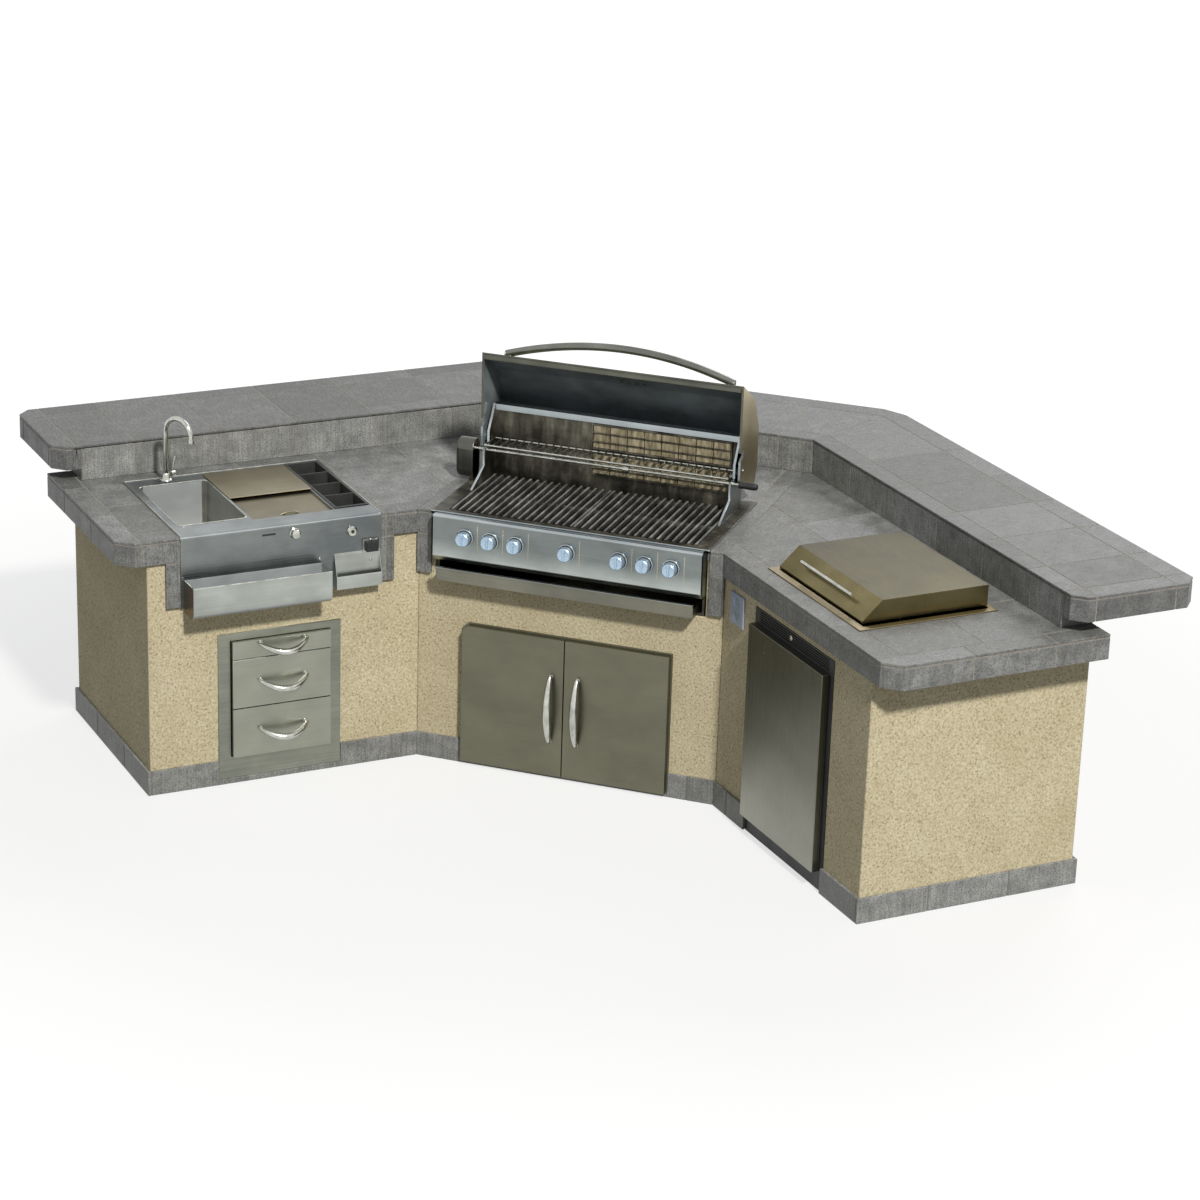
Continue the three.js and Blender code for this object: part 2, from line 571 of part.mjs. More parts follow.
// Pressed control panel: rolled top edge, flat face, tucked lower edge, and a bezel for each knob.
function controlPanel() {
  const p = panel;
  const back = sheet.thin - gap;
  const top = counter.top;
  const rollY = p.front + p.roll;
  const rollZ = top - p.rollDrop;
  const face = new THREE.Shape();
  face.moveTo(back, top - p.sheet);
  face.lineTo(back, top);
  face.lineTo(rollY + Math.sqrt(p.roll ** 2 - p.rollDrop ** 2), top);
  face.absarc(rollY, rollZ, p.roll, Math.asin(p.rollDrop / p.roll), Math.PI, false);
  face.lineTo(p.front, p.bottom + p.tuck);
  face.lineTo(p.front + p.tuck, p.bottom);
  face.lineTo(back, p.bottom);
  face.lineTo(back, p.bottom + p.sheet);
  face.lineTo(p.front + p.tuck + p.sheet / 2, p.bottom + p.sheet);
  face.lineTo(p.front + p.sheet, p.bottom + p.tuck + p.sheet / 2);
  face.lineTo(p.front + p.sheet, top - p.sheet - p.roll);
  face.lineTo(rollY + p.sheet, top - p.sheet);
  const plate = solid(alongX(face, -panelHalf, panelHalf));
  const bezels = knobPlaces.map((x) => rod([x, p.front + gap, knob.height],
    [x, p.front - knob.bezelDepth, knob.height], knob.bezel, roundSides));
  const bores = knobPlaces.map((x) => rod([x, p.front - cutOver, knob.height],
    [x, p.front + p.sheet + gap, knob.height], knob.shaft + knob.shaftClear, roundSides));
  return cut(join(plate, ...bezels), ...bores);
}

const valveFront = panel.front + panel.sheet + knob.taper;
const knobSeat = valveFront - gap;

// Knob with a raised beak; its shaft reaches through the bezel to the valve.
function burnerKnob(x) {
  const face = panel.front - knob.bezelDepth - gap;
  const tip = face - knob.depth;
  const beak = box(x - knob.taper, x + knob.taper, tip - knob.taper, tip + gap,
    knob.height - knob.radius + knob.taper, knob.height + knob.radius - knob.taper);
  const profile = [[0, 0], [knob.shaft, 0], [knob.shaft, knobSeat - face], [knob.radius, knobSeat - face],
    [knob.radius, knobSeat - tip - knob.taper], [knob.radius - knob.taper, knobSeat - tip],
    [0, knobSeat - tip]];
  const cap = turned(profile).rotateX(Math.PI).translate(x, knobSeat, knob.height);
  return join(solid(cap), beak);
}

// Supply pipe with a valve behind each knob and the burner tubes that leave it.
function burnerAssembly() {
  const last = knobPlaces.length - 1;
  const pipeY = knob.valveBack - burner.pipe;
  const pipe = rod([knobPlaces[0] - knob.valveHalf, pipeY, knob.height],
    [knobPlaces[last] + knob.valveHalf, pipeY, knob.height], burner.pipe);
  const valves = knobPlaces.map((x) => box(x - knob.valveHalf, x + knob.valveHalf, valveFront,
    knob.valveBack, burner.height - burner.radius, knob.height + knob.valveHalf));
  const tubes = knobPlaces.map((x) => rod([x, pipeY, burner.height],
    [x, burner.end - grill.ledgeDepth - cutOver, burner.height], burner.radius));
  return join(pipe, ...valves, ...tubes);
}

// Folded roofs above the burners, tied by a front and a rear rail that lie on the lower ledges.
function flameTamers() {
  const base = grill.tamerSeat + gap;
  const peak = base + tamer.rise;
  const roof = (x) => solid(alongY(outline([
    [x - tamer.half, base], [x, peak], [x + tamer.half, base],
    [x + tamer.half - tamer.foot, base], [x, peak - tamer.crest],
    [x - tamer.half + tamer.foot, base],
  ]), tamer.front - tamer.rail, tamer.rear + tamer.rail));
  const end = openHalf;
  const rails = [
    box(-end, end, tamer.front - tamer.rail, tamer.front, base, base + tamer.rail),
    box(-end, end, tamer.rear, tamer.rear + tamer.rail, base, base + tamer.rail),
  ];
  return join(...rails, ...knobPlaces.map(roof));
}

// Cast cooking grate: bars from front to back over three cross rails.
function cookingGrate(side) {
  const near = grate.centre / 2;
  const far = openHalf - grate.centre;
  const seat = grill.grateSeat + gap;
  const pieces = [];
  for (const y of [grate.front, (grate.front + grate.rear) / 2, grate.rear - grate.rail]) {
    pieces.push(sideBox(side, near, far, y - sheet.flange, y + grate.rail, seat, seat + grate.rail));
  }
  const room = far - near - grate.bar;
  const count = Math.floor(room / grate.barPitch);
  for (let i = 0; i <= count; i += 1) {
    const start = near + (room * i) / count;
    pieces.push(sideBox(side, start, start + grate.bar, grate.front - sheet.flange, grate.rear,
      seat + grate.rail / 2, grate.barTop));
  }
  return join(...pieces);
}

function warmingRack() {
  const ends = openHalf - gap;
  const rods = [rack.front, rack.rear].map((y) => rod([-ends, y, rack.z], [ends, y, rack.z], rack.rod));
  const wires = [];
  const reach = openHalf - rack.sideInset;
  for (let i = 0; i < rack.wireCount; i += 1) {
    const x = -reach + (2 * reach * i) / (rack.wireCount - 1);
    wires.push(rod([x, rack.front, rack.z + rack.rod], [x, rack.rear, rack.z + rack.rod], rack.wire, 6));
  }
  const arms = [-1, 1].map((end) => box(end * ends, end * (ends - rack.rod), rack.front, rack.rear,
    rack.z - rack.rod, rack.z + rack.rod));
  return join(...rods, ...wires, ...arms);
}

function spitRod() {
  const { y, z } = saddle;
  const shaft = rod([spitLeft, y, z], [spitRight + gap, y, z], spit.radius, roundSides);
  const grip = turned([[0, 0], [spit.grip - spit.radius / 2, 0], [spit.grip, spit.radius],
    [spit.grip, spit.gripLength - spit.radius], [spit.radius, spit.gripLength],
    [0, spit.gripLength]], tubeSides);
  return join(shaft, solid(grip.rotateZ(-Math.PI / 2).translate(spitRight, y, z)));
}

// Rotisserie motor in an upright round-ended case, on a foot on the grill's flange.
function rotisserieMotor() {
  const { y, z } = saddle;
  const inner = -hoodHalf - sheet.wall - gap;
  const foot = counter.top + gap + sheet.flange + gap;
  const plate = box(inner - motor.plate, inner, y - motor.foot / 2, y + motor.foot / 2, foot, z);
  const outer = inner - motor.plate - motor.depth;
  const drums = [z, z - motor.drop].map((level) =>
    rod([outer, y, level], [inner, y, level], motor.radius, roundSides));
  const middle = box(outer, inner, y - motor.radius, y + motor.radius, z - motor.drop, z);
  const bore = rod([spitLeft - gap, y, z], [inner + cutOver, y, z], spit.radius + gap, roundSides);
  return cut(join(plate, middle, ...drums), bore);
}

// Drip tray that slides out under the control panel.
function greaseTray() {
  const t = tray;
  const half = grillHalf - t.sideInset;
  const base = grill.floor + sheet.wall + gap;
  const top = base + t.height;
  const brim = top + t.rise;
  const end = t.front + t.depth;
  const pan = cut(box(-half, half, t.front + t.face / 2, end, base, top),
    box(-half + sheet.thin, half - sheet.thin, t.front + t.face, end - sheet.thin,
      base + sheet.thin, top + cutOver));
  const face = solid(alongY(outline([
    [-half, brim], [-half, base + t.corner], [-half + t.corner, base],
    [half - t.corner, base], [half, base + t.corner], [half, brim],
  ]), t.front, t.front + t.face));
  const lip = box(-half, half, t.front - t.lip, t.front + gap, brim - t.lip, brim);
  return join(pan, face, lip);
}

// The hood is modelled closed and turned open about its pivots.
const hoodProfile = [
  [hood.lipY, hood.lipZ], [hood.browY, hood.browZ], [hood.crownY, hood.crownZ],
  [hood.topY, hood.topZ], [hood.tailY, hood.tailZ], [hood.heelY, hood.heelZ],
];
const hoodGroup = new THREE.Group();
hoodGroup.position.set(0, pivot.y, pivot.z);
hoodGroup.rotation.x = -hood.openAngle;
island.add(hoodGroup);

const fromPivot = ([y, z]) => [y - pivot.y, z - pivot.z];

function grillHood() {
  const points = hoodProfile.map(fromPivot);
  const outer = solid(alongX(outline(points), -hoodHalf, hoodHalf));
  const inside = hoodHalf - hood.sheet;
  const core = insetProfile(points, hood.sheet);
  const hollow = solid(alongX(outline(core), -inside, inside));
  const axleEnd = hoodHalf + cutOver;
  const bores = [-1, 1].map((end) => rod([end * (inside - cutOver), 0, 0], [end * axleEnd, 0, 0],
    pivot.radius + gap, roundSides));
  return cut(outer, hollow, spitSlot(), ...bores);
}

// Moves the front and top faces of a hood section inwards and leaves its base and rear open.
function insetProfile(points, inset) {
  const last = points.length - 1;
  const lines = [];
  for (let i = 0; i + 1 < last; i += 1) {
    const [ax, ay] = points[i];
    const [bx, by] = points[i + 1];
    const size = Math.hypot(bx - ax, by - ay);
    const shift = [((by - ay) * inset) / size, (-(bx - ax) * inset) / size];
    lines.push([[ax + shift[0], ay + shift[1]], [bx + shift[0], by + shift[1]]]);
  }
  const inner = [];
  for (let i = 0; i + 1 < lines.length; i += 1) {
    inner.push(crossing(lines[i], lines[i + 1]));
  }
  const [foot, brow] = lines[0];
  const [top, tail] = lines[lines.length - 1];
  const past = ([fromY, fromZ], [toY, toZ]) => [toY + (toY - fromY) / 2, toZ + (toZ - fromZ) / 2];
  const rear = past(top, tail);
  const front = past(brow, foot);
  return [front, ...inner, rear, [rear[0], front[1]]];
}

function crossing([a, b], [c, d]) {
  const r = [b[0] - a[0], b[1] - a[1]];
  const s = [d[0] - c[0], d[1] - c[1]];
  const share = ((c[0] - a[0]) * s[1] - (c[1] - a[1]) * s[0]) / (r[0] * s[1] - r[1] * s[0]);
  return [a[0] + r[0] * share, a[1] + r[1] * share];
}

// Curved slot in the hood's cheeks that lets them pass over the spit.
function spitSlot() {
  const across = saddle.y - pivot.y;
  const down = saddle.z - pivot.z;
  const radius = Math.hypot(across, down);
  const turn = Math.atan2(down, across);
  const reach = spit.radius + sheet.thin;
  const spare = reach / radius;
  const slot = new THREE.Shape();
  const ahead = turn + spare * slotShares.along;
  slot.absarc(0, 0, radius - reach, turn - spare, ahead, false);
  slot.absarc(0, 0, radius + reach * slotShares.out, ahead, turn - spare, true);
  return solid(alongX(slot, -hoodHalf - cutOver, hoodHalf + cutOver));
}

// Bowed tubular handle on two posts, on the hood's front face.
function hoodLiftHandle() {
  const [[lipY, lipZ], [browY, browZ]] = hoodProfile.map(fromPivot);
  const z = lipZ + hoodHandle.height;
  const slope = (browY - lipY) / (browZ - lipZ);
  const faceY = lipY + (z - lipZ) * slope;
  const seatY = faceY - gap - hoodHandle.post * slope;
  const endY = faceY - hoodHandle.standoff;
  const points = [];
  for (const share of liftShares) {
    const rise = hoodHandle.bow * (1 - share * share);
    points.push([handleHalf * share, endY - rise, z]);
  }
  const posts = [-1, 1].map((end) => rod(
    [end * (handleHalf - hoodHandle.radius), endY - hoodHandle.radius / 2, z],
    [end * (handleHalf - hoodHandle.radius), seatY, z],
    hoodHandle.post));
  return join(tube(points, hoodHandle.radius, liftSteps), ...posts);
}

add(island, 'grill_housing', grillHousing(), steel);
add(island, 'control_panel', controlPanel(), steel);
knobPlaces.forEach((x, i) => add(island, `burner_knob_${i + 1}`, burnerKnob(x), knobMetal));
add(hoodGroup, 'grill_hood', grillHood(), steel);
add(hoodGroup, 'hood_handle', hoodLiftHandle(), steel);
add(island, 'left_cooking_grate', cookingGrate(-1), castIron);
add(island, 'right_cooking_grate', cookingGrate(1), castIron);
add(island, 'warming_rack', warmingRack(), steel);
add(island, 'flame_tamers', flameTamers(), darkSteel);
add(island, 'burner_assembly', burnerAssembly(), darkSteel);
add(island, 'spit_rod', spitRod(), steel);
add(island, 'rotisserie_motor', rotisserieMotor(), darkSteel);
add(island, 'grease_tray', greaseTray(), steel);

// Door frame: a flange on the stucco and a sleeve through the wall.
function accessFrame() {
  const d = doors;
  const sleeve = box(-d.openHalfWidth - sheet.thin, d.openHalfWidth + sheet.thin, -d.flange / 2,
    d.sleeve, d.openBottom - sheet.thin, d.openTop + sheet.thin);
  const flange = solid(alongY(outline([
    [-d.halfWidth, d.bottom], [d.halfWidth, d.bottom], [d.halfWidth, d.top],
    [-d.halfWidth + d.corner, d.top], [-d.halfWidth, d.top - d.corner],
  ]), -d.flange, -gap));
  return cut(join(sleeve, flange), box(-d.openHalfWidth, d.openHalfWidth, -cutOver,
    d.sleeve + cutOver, d.openBottom, d.openTop));
}

const doorBack = -doors.flange - gap;
const doorFront = doorBack - doors.thickness;

// Folded door leaf with a hollow back. The left one follows the frame's cut corner.
function accessDoor(side) {
  const d = doors;
  const outer = d.halfWidth - d.reveal;
  const leaf = sideBox(side, d.meeting, outer, doorFront, doorBack, d.bottom + d.reveal,
    d.top - d.reveal);
  const hollow = sideBox(side, d.meeting + d.hem, outer - d.hem, doorFront + sheet.thin,
    doorBack + cutOver, d.bottom + d.reveal + d.hem, d.top - d.reveal - d.hem);
  const corner = outline([[-outer - gap, d.top - d.reveal + gap],
    [-outer - gap, d.top - d.reveal - d.corner], [-outer + d.corner, d.top - d.reveal + gap]]);
  const clipped = solid(alongY(corner, doorFront - cutOver, doorBack + cutOver));
  return cut(leaf, hollow, ...(side === leftSide ? [clipped] : []));
}

// Bowed bar handle on two posts between two ends. It stands upright or lies level, and a level one
// hangs lower by `sag` at its middle.
function bowedHandle(ends, across, face, bow, radius, post, sag, upright) {
  const [low, high] = ends;
  const middle = (low + high) / 2;
  const half = (high - low) / 2;
  const points = [];
  for (const share of handleShares) {
    const fall = 1 - share * share;
    const along = middle + half * share;
    const out = face - radius - bow * fall;
    points.push(upright ? [across, out, along] : [along, out, across - sag * fall]);
  }
  const posts = [low + radius, high - radius].map((along) => {
    const foot = upright ? [across, face, along] : [along, face, across];
    const tip = upright ? [across, face - radius - post, along] : [along, face - radius - post, across];
    return rod(foot, tip, post);
  });
  return join(tube(points, radius, handleSteps), ...posts);
}

function doorHandleBar(x) {
  return bowedHandle([doorHandle.bottom, doorHandle.top], x, doorFront - gap, doorHandle.bow,
    doorHandle.radius, doorHandle.post, 0, true);
}

add(island, 'access_door_frame', accessFrame(), steel);
add(island, 'left_access_door', accessDoor(-1), steel);
add(island, 'right_access_door', accessDoor(1), steel);
add(island, 'left_door_handle', doorHandleBar(doorHandle.leftX), steel);
add(island, 'right_door_handle', doorHandleBar(doorHandle.rightX), steel);

function drawerFrame() {
  const d = drawers;
  const low = d.lowerFoot;
  const high = d.upperTop;
  const sleeve = sideBox(leftSide, d.openInner - sheet.thin, d.openOuter + sheet.thin, -d.flange / 2,
    d.sleeve, low - sheet.thin, high + sheet.thin);
  const flange = sideBox(leftSide, d.inner, d.outer, -d.flange, -gap, d.bottom, d.top);
  const hollow = sideBox(leftSide, d.openInner, d.openOuter, -cutOver, d.sleeve + cutOver, low, high);
  const runners = drawerLevels.slice(0, -1).flatMap((z) => [
    sideBox(leftSide, d.openInner - gap, d.openInner + d.clear, 0, d.sleeve, z + d.clear,
      z + d.clear * 2),
    sideBox(leftSide, d.openOuter - d.clear, d.openOuter + gap, 0, d.sleeve, z + d.clear,
      z + d.clear * 2),
  ]);
  return join(cut(join(sleeve, flange), hollow), ...runners);
}

const drawerBack = -drawers.flange - gap;
const drawerFront = drawerBack - drawers.front;

// Drawer with a hollow front and an open box that runs on the frame's side runners.
function drawer(level) {
  const d = drawers;
  const low = drawerLevels[level] + d.reveal;
  const high = drawerLevels[level + 1] - d.reveal;
  const skin = sheet.thin;
  const face = sideBox(leftSide, d.openInner + skin, d.openOuter - skin, drawerFront, drawerBack, low,
    high);
  const inner = d.openInner + d.clear + gap;
  const outer = d.openOuter - d.clear - gap;
  const base = drawerLevels[level] + d.clear * 2 + gap;
  const rim = high - d.boxDrop;
  const body = sideBox(leftSide, inner - d.clear / 2, outer + d.clear / 2, drawerBack - gap,
    d.boxDepth, base, rim);
  const hollow = sideBox(leftSide, inner + d.side, outer - d.side, drawerBack, d.boxDepth - d.side,
    base + d.side, rim + cutOver);
  return join(face, cut(body, hollow));
}

function drawerHandleBar(level) {
  const h = drawerHandle;
  const z = drawerLevels[level + 1] - [h.lowerDrop, h.middleDrop, h.upperDrop][level];
  const ends = [h.outer - drawers.openOuter, -drawers.openInner - h.inner];
  return bowedHandle(ends, z, drawerFront - gap, h.bow, h.radius, h.post, h.sag, false);
}

add(left, 'drawer_frame', drawerFrame(), steel);
['lower', 'middle', 'upper'].forEach((name, level) => {
  add(left, `${name}_drawer`, drawer(level), steel);
  add(left, `${name}_drawer_handle`, drawerHandleBar(level), steel);
});

const deckUnder = counter.top + gap;
const deckTop = deckUnder + deck.plate;

// Open tub under the deck: its outside and its hollow.
function tubSolids({ inner, outer, front, back, bottom }) {
  const w = deck.wall;
  return {
    outside: sideBox(leftSide, inner - w, outer + w, front - w, back + w, bottom - w, deckTop),
    hollow: sideBox(leftSide, inner, outer, front, back, bottom, deckTop + cutOver),
  };
}

// Sink, ice bin and condiment well in one pressed deck with an apron that hangs over the front.
function beverageDeck() {
  const d = deck;
  const plate = sideBox(leftSide, d.inner, d.outer, d.front, d.back, deckUnder, deckTop);
  const apron = sideBox(leftSide, d.inner, d.outer, d.front, -gap, d.apronBottom, deckTop);
  const tubs = [basin, iceBin, caddy].map(tubSolids);
  const ledgeTop = deckTop - iceLid.drop - iceLid.sheet - gap;
  const ledges = [[iceBin.inner - gap, iceBin.inner + iceLid.ledge],
    [iceBin.outer - iceLid.ledge, iceBin.outer + gap]].map(([u0, u1]) => sideBox(leftSide, u0, u1,
    iceBin.front, iceBin.back, ledgeTop - iceLid.sheet, ledgeTop));
  const basinU = (basin.inner + basin.outer) / 2;
  const basinT = (basin.front + basin.back) / 2;
  const drain = rod([-basinU, basinT, basin.bottom - cutOver], [-basinU, basinT, basin.bottom + cutOver],
    basin.drain, roundSides);
  const collar = rod([-faucet.u, faucet.t, deckTop - gap], [-faucet.u, faucet.t, deckTop + d.plate],
    faucet.base + d.plate, roundSides);
  const knobs = [
    rod([-fitting.knobU, d.front + gap, fitting.knobZ],
      [-fitting.knobU, d.front - fitting.knobOut, fitting.knobZ], fitting.knobR, roundSides),
    rod([-fitting.lockU, d.front + gap, fitting.lockZ],
      [-fitting.lockU, d.front - fitting.knobOut / 2, fitting.lockZ], fitting.lockR, roundSides),
  ];
  const whole = join(plate, apron, ...tubs.map((tub) => tub.outside));
  const opened = cut(whole, ...tubs.map((tub) => tub.hollow), drain);
  return join(opened, ...ledges, collar, ...knobs);
}

// The front lid slides back on ledges inside the bin, under the rear one.
function frontIceLid() {
  const b = iceBin;
  const top = deckTop - iceLid.drop;
  const lid = sideBox(leftSide, b.inner + iceLid.clear, b.outer - iceLid.clear,
    b.front + iceLid.clear, b.split + iceLid.overlap, top - iceLid.sheet, top);
  const middle = -(b.inner + b.outer) / 2;
  const pullT = b.front + iceLid.pullHalf;
  const pull = tube([[middle - iceLid.pullHalf, pullT, top - gap],
    [middle - iceLid.pullHalf / 2, pullT, top + iceLid.pull],
    [middle + iceLid.pullHalf / 2, pullT, top + iceLid.pull],
    [middle + iceLid.pullHalf, pullT, top - gap]], iceLid.pullRadius, handleSteps, tubeSides);
  return join(lid, pull);
}

function rearIceLid() {
  const b = iceBin;
  return sideBox(leftSide, b.inner - iceLid.rest, b.outer + iceLid.rest, b.split - iceLid.overlap,
    b.back + iceLid.rest, deckTop + gap, deckTop + gap + iceLid.sheet);
}

// Lift-out caddy with a row of pockets, hung by its rim in the condiment well.
function condimentCaddy() {
  const c = caddy;
  const rimTop = deckTop + gap + sheet.thin;
  const rim = sideBox(leftSide, c.inner - c.rest, c.outer + c.rest, c.front - c.rest, c.back + c.rest,
    deckTop + gap, rimTop);
  const front = c.front + c.clear;
  const back = c.back - c.clear;
  const body = sideBox(leftSide, c.inner + c.clear, c.outer - c.clear, front, back,
    rimTop - c.depth - c.wall, rimTop);
  const pitch = (back - front - c.wall) / c.wellCount;
  const pockets = [];
  for (let i = 0; i < c.wellCount; i += 1) {
    const start = front + c.wall + i * pitch;
    pockets.push(sideBox(leftSide, c.inner + c.clear + c.wall, c.outer - c.clear - c.wall, start,
      start + pitch - c.wall, rimTop - c.depth, rimTop + cutOver));
  }
  return cut(join(rim, body), ...pockets);
}

// Gooseneck spout that swivels on the deck's collar.
function faucetSpout() {
  const f = faucet;
  const seat = deckTop + deck.plate + gap;
  const crown = deckTop + f.height;
  const base = rod([0, 0, seat], [0, 0, seat + f.baseHeight], f.base, roundSides);
  const arch = archShares.map(([out, down]) => [0, -f.reach * out, crown - f.reach * down]);
  const path = [[0, 0, seat + f.baseHeight / 2], [0, 0, (seat + arch[0][2]) / 2], ...arch,
    [0, -f.reach, crown - f.drop]];
  return join(base, tube(path, f.tube, spoutSteps));
}

function faucetLever() {
  const f = faucet;
  const z = deckTop + deck.plate + gap + lever.up;
  const start = f.base + gap;
  const hub = rod([start, 0, z], [start + lever.hubLength, 0, z], lever.hub, roundSides);
  const middle = start + lever.hubLength / 2;
  const arm = rod([middle, 0, z], [middle + lever.rise, 0, z + lever.length], lever.radius);
  return join(hub, arm);
}

const faucetGroup = new THREE.Group();
faucetGroup.position.set(-faucet.u, faucet.t, 0);
faucetGroup.rotation.z = -faucet.lean;
left.add(faucetGroup);

// Open trough for bottles, hung on the apron.
function bottleRail() {
  const r = rail;
  const back = deck.front - gap;
  const section = (inset, over) => {
    const shape = new THREE.Shape();
    const radius = r.corner - inset;
    shape.moveTo(back - inset, r.top + over);
    shape.lineTo(r.front + inset, r.top + over);
    shape.lineTo(r.front + inset, r.bottom + r.corner);
    shape.absarc(r.front + r.corner, r.bottom + r.corner, radius, Math.PI, 1.5 * Math.PI, false);
    shape.lineTo(back - inset, r.bottom + inset);
    return shape;
  };
  return cut(solid(alongX(section(0, 0), -r.outer, -r.inner)),
    solid(alongX(section(r.sheet, cutOver), -r.outer + r.sheet, -r.inner - r.sheet)));
}

// Bottle opener claw above an open pocket with raked sides that catches the caps.
function openerAndCatcher() {
  const o = opener;
  const back = deck.front - gap;
  const plate = sideBox(leftSide, o.inner, o.outer, back - o.back, back, o.boxBottom, o.top);
  const pocket = outline([[o.boxFront, o.boxBottom], [back, o.boxBottom], [back, o.boxTop],
    [o.boxFront, o.boxLip]]);
  const catcher = cut(solid(alongX(pocket, -o.boxOuter, -o.boxInner)),
    sideBox(leftSide, o.boxInner + o.sheet, o.boxOuter - o.sheet, o.boxFront + o.sheet,
      back - o.back, o.boxBottom + o.sheet, o.boxTop + cutOver));
  const claw = cut(
    sideBox(leftSide, o.inner + o.slot, o.outer - o.slot, o.clawFront, back - gap, o.clawBottom,
      o.clawTop),
    sideBox(leftSide, o.inner + o.slot * 2, o.outer - o.slot * 2, o.clawFront + o.slot,
      back - o.back, o.clawBottom - cutOver, o.clawBottom + o.slot * 2));
  return join(plate, catcher, claw);
}

add(left, 'beverage_deck', beverageDeck(), steel);
add(left, 'front_ice_lid', frontIceLid(), steel);
add(left, 'rear_ice_lid', rearIceLid(), steel);
add(left, 'condiment_caddy', condimentCaddy(), blackPlastic);
add(faucetGroup, 'faucet_spout', faucetSpout(), steel);
add(faucetGroup, 'faucet_lever', faucetLever(), steel);
add(left, 'bottle_rail', bottleRail(), steel);
add(left, 'opener_and_catcher', openerAndCatcher(), darkSteel);

// Insulated fridge case with a vent band above the door and a closed kick below it.
function fridgeCase() {
  const f = fridge;
  const body = sideBox(rightSide, f.inner, f.outer, 0, f.back, 0, f.top);
  const room = sideBox(rightSide, f.inner + f.wall, f.outer - f.wall, -cutOver, f.back - f.wall,
    f.cabinetBottom, f.cabinetTop);
  const slots = [];
  const pitch = (f.top - f.ventBottom) / (f.ventCount + 1);
  for (let i = 1; i <= f.ventCount; i += 1) {
    const z = f.ventBottom + pitch * i - pitch / 4;
    slots.push(sideBox(rightSide, f.inner + f.wall, f.outer - f.wall, -cutOver, sheet.wall, z,
      z + pitch / 2));
  }
  const shelfZ = f.shelf - gap;
  const ledges = [[f.inner + f.wall - gap, f.inner + f.wall + f.runner],
    [f.outer - f.wall - f.runner, f.outer - f.wall + gap]].map(([u0, u1]) => sideBox(rightSide, u0,
    u1, f.wall, f.back - f.wall + gap, shelfZ - f.runner, shelfZ));
  return join(cut(body, room, ...slots), ...ledges);
}

function fridgeDoor() {
  const f = fridge;
  return sideBox(rightSide, f.doorInner, f.doorOuter, -gap - f.door, -gap, f.doorBottom, f.doorTop);
}

// Wire shelf drawn as a rim with cross slats.
function fridgeShelf() {
  const f = fridge;
  const u0 = f.inner + f.wall + f.shelfClear;
  const u1 = f.outer - f.wall - f.shelfClear;
  const t0 = f.wall;
  const t1 = f.back - f.wall - f.shelfClear;
  const frame = cut(
    sideBox(rightSide, u0, u1, t0, t1, f.shelf, f.shelf + f.shelfSheet),
    sideBox(rightSide, u0 + f.runner * 2, u1 - f.runner * 2, t0 + f.runner * 2, t1 - f.runner * 2,
      f.shelf - cutOver, f.shelf + cutOver));
  const slats = [];
  for (let i = 1; i <= f.slatCount; i += 1) {
    const u = u0 + ((u1 - u0) * i) / (f.slatCount + 1);
    slats.push(sideBox(rightSide, u - f.shelfSlat / 2, u + f.shelfSlat / 2, t0 + f.runner,
      t1 - f.runner, f.shelf, f.shelf + f.shelfSlat));
  }
  return join(frame, ...slats);
}

// Side burner pan with a flange that lies on the counter.
function sideBurnerPan() {
  const s = sideBurner;
  const under = counter.top + gap;
  const flange = sideBox(rightSide, s.inner, s.outer, s.front, s.back, under, under + s.plate);
  const outside = sideBox(rightSide, s.panInner - s.wall, s.panOuter + s.wall, s.panFront - s.wall,
    s.panBack + s.wall, s.bottom - s.wall, under + s.plate);
  const room = sideBox(rightSide, s.panInner, s.panOuter, s.panFront, s.panBack, s.bottom,
    under + cutOver);
  const [u, t] = burnerCentre;
  const stem = rod([u, t, s.bottom - cutOver], [u, t, s.bottom + cutOver], head.stem + gap, roundSides);
  return cut(join(flange, outside), room, stem);
}

const burnerCentre = [
  (sideBurner.panInner + sideBurner.panOuter) / 2, (sideBurner.panFront + sideBurner.panBack) / 2,
];

// Side burner lid: a shallow box with a sloped front, hinged along its back.
function sideBurnerLid() {
  const l = sideLid;
  const base = counter.top + gap + sideBurner.plate + gap;
  const section = (inset, under) => outline([
    [l.front + inset, base - under], [l.front + inset, l.brow], [l.shoulder + inset / 2, l.top - inset],
    [l.back - inset, l.top - inset], [l.back - inset, base - under],
  ]);
  const shell = cut(solid(alongX(section(0, 0), l.inner, l.outer)),
    solid(alongX(section(l.sheet, cutOver), l.inner + l.sheet, l.outer - l.sheet)));
  const slope = [l.shoulder - l.front, l.top - l.brow];
  const size = Math.hypot(...slope);
  const normal = [-slope[1] / size, slope[0] / size];
  const mid = [(l.front + l.shoulder) / 2, (l.brow + l.top) / 2];
  const out = (far) => [mid[0] + normal[0] * far, mid[1] + normal[1] * far];
  const grip = rod([sideGrip.inner, ...out(sideGrip.standoff)], [sideGrip.outer,
    ...out(sideGrip.standoff)], sideGrip.radius);
  const posts = [sideGrip.inner + sideGrip.radius * 2, sideGrip.outer - sideGrip.radius * 2].map((u) =>
    rod([u, ...out(-sheet.thin / 2)], [u, ...out(sideGrip.standoff)], sideGrip.post));
  return join(shell, grip, ...posts);
}

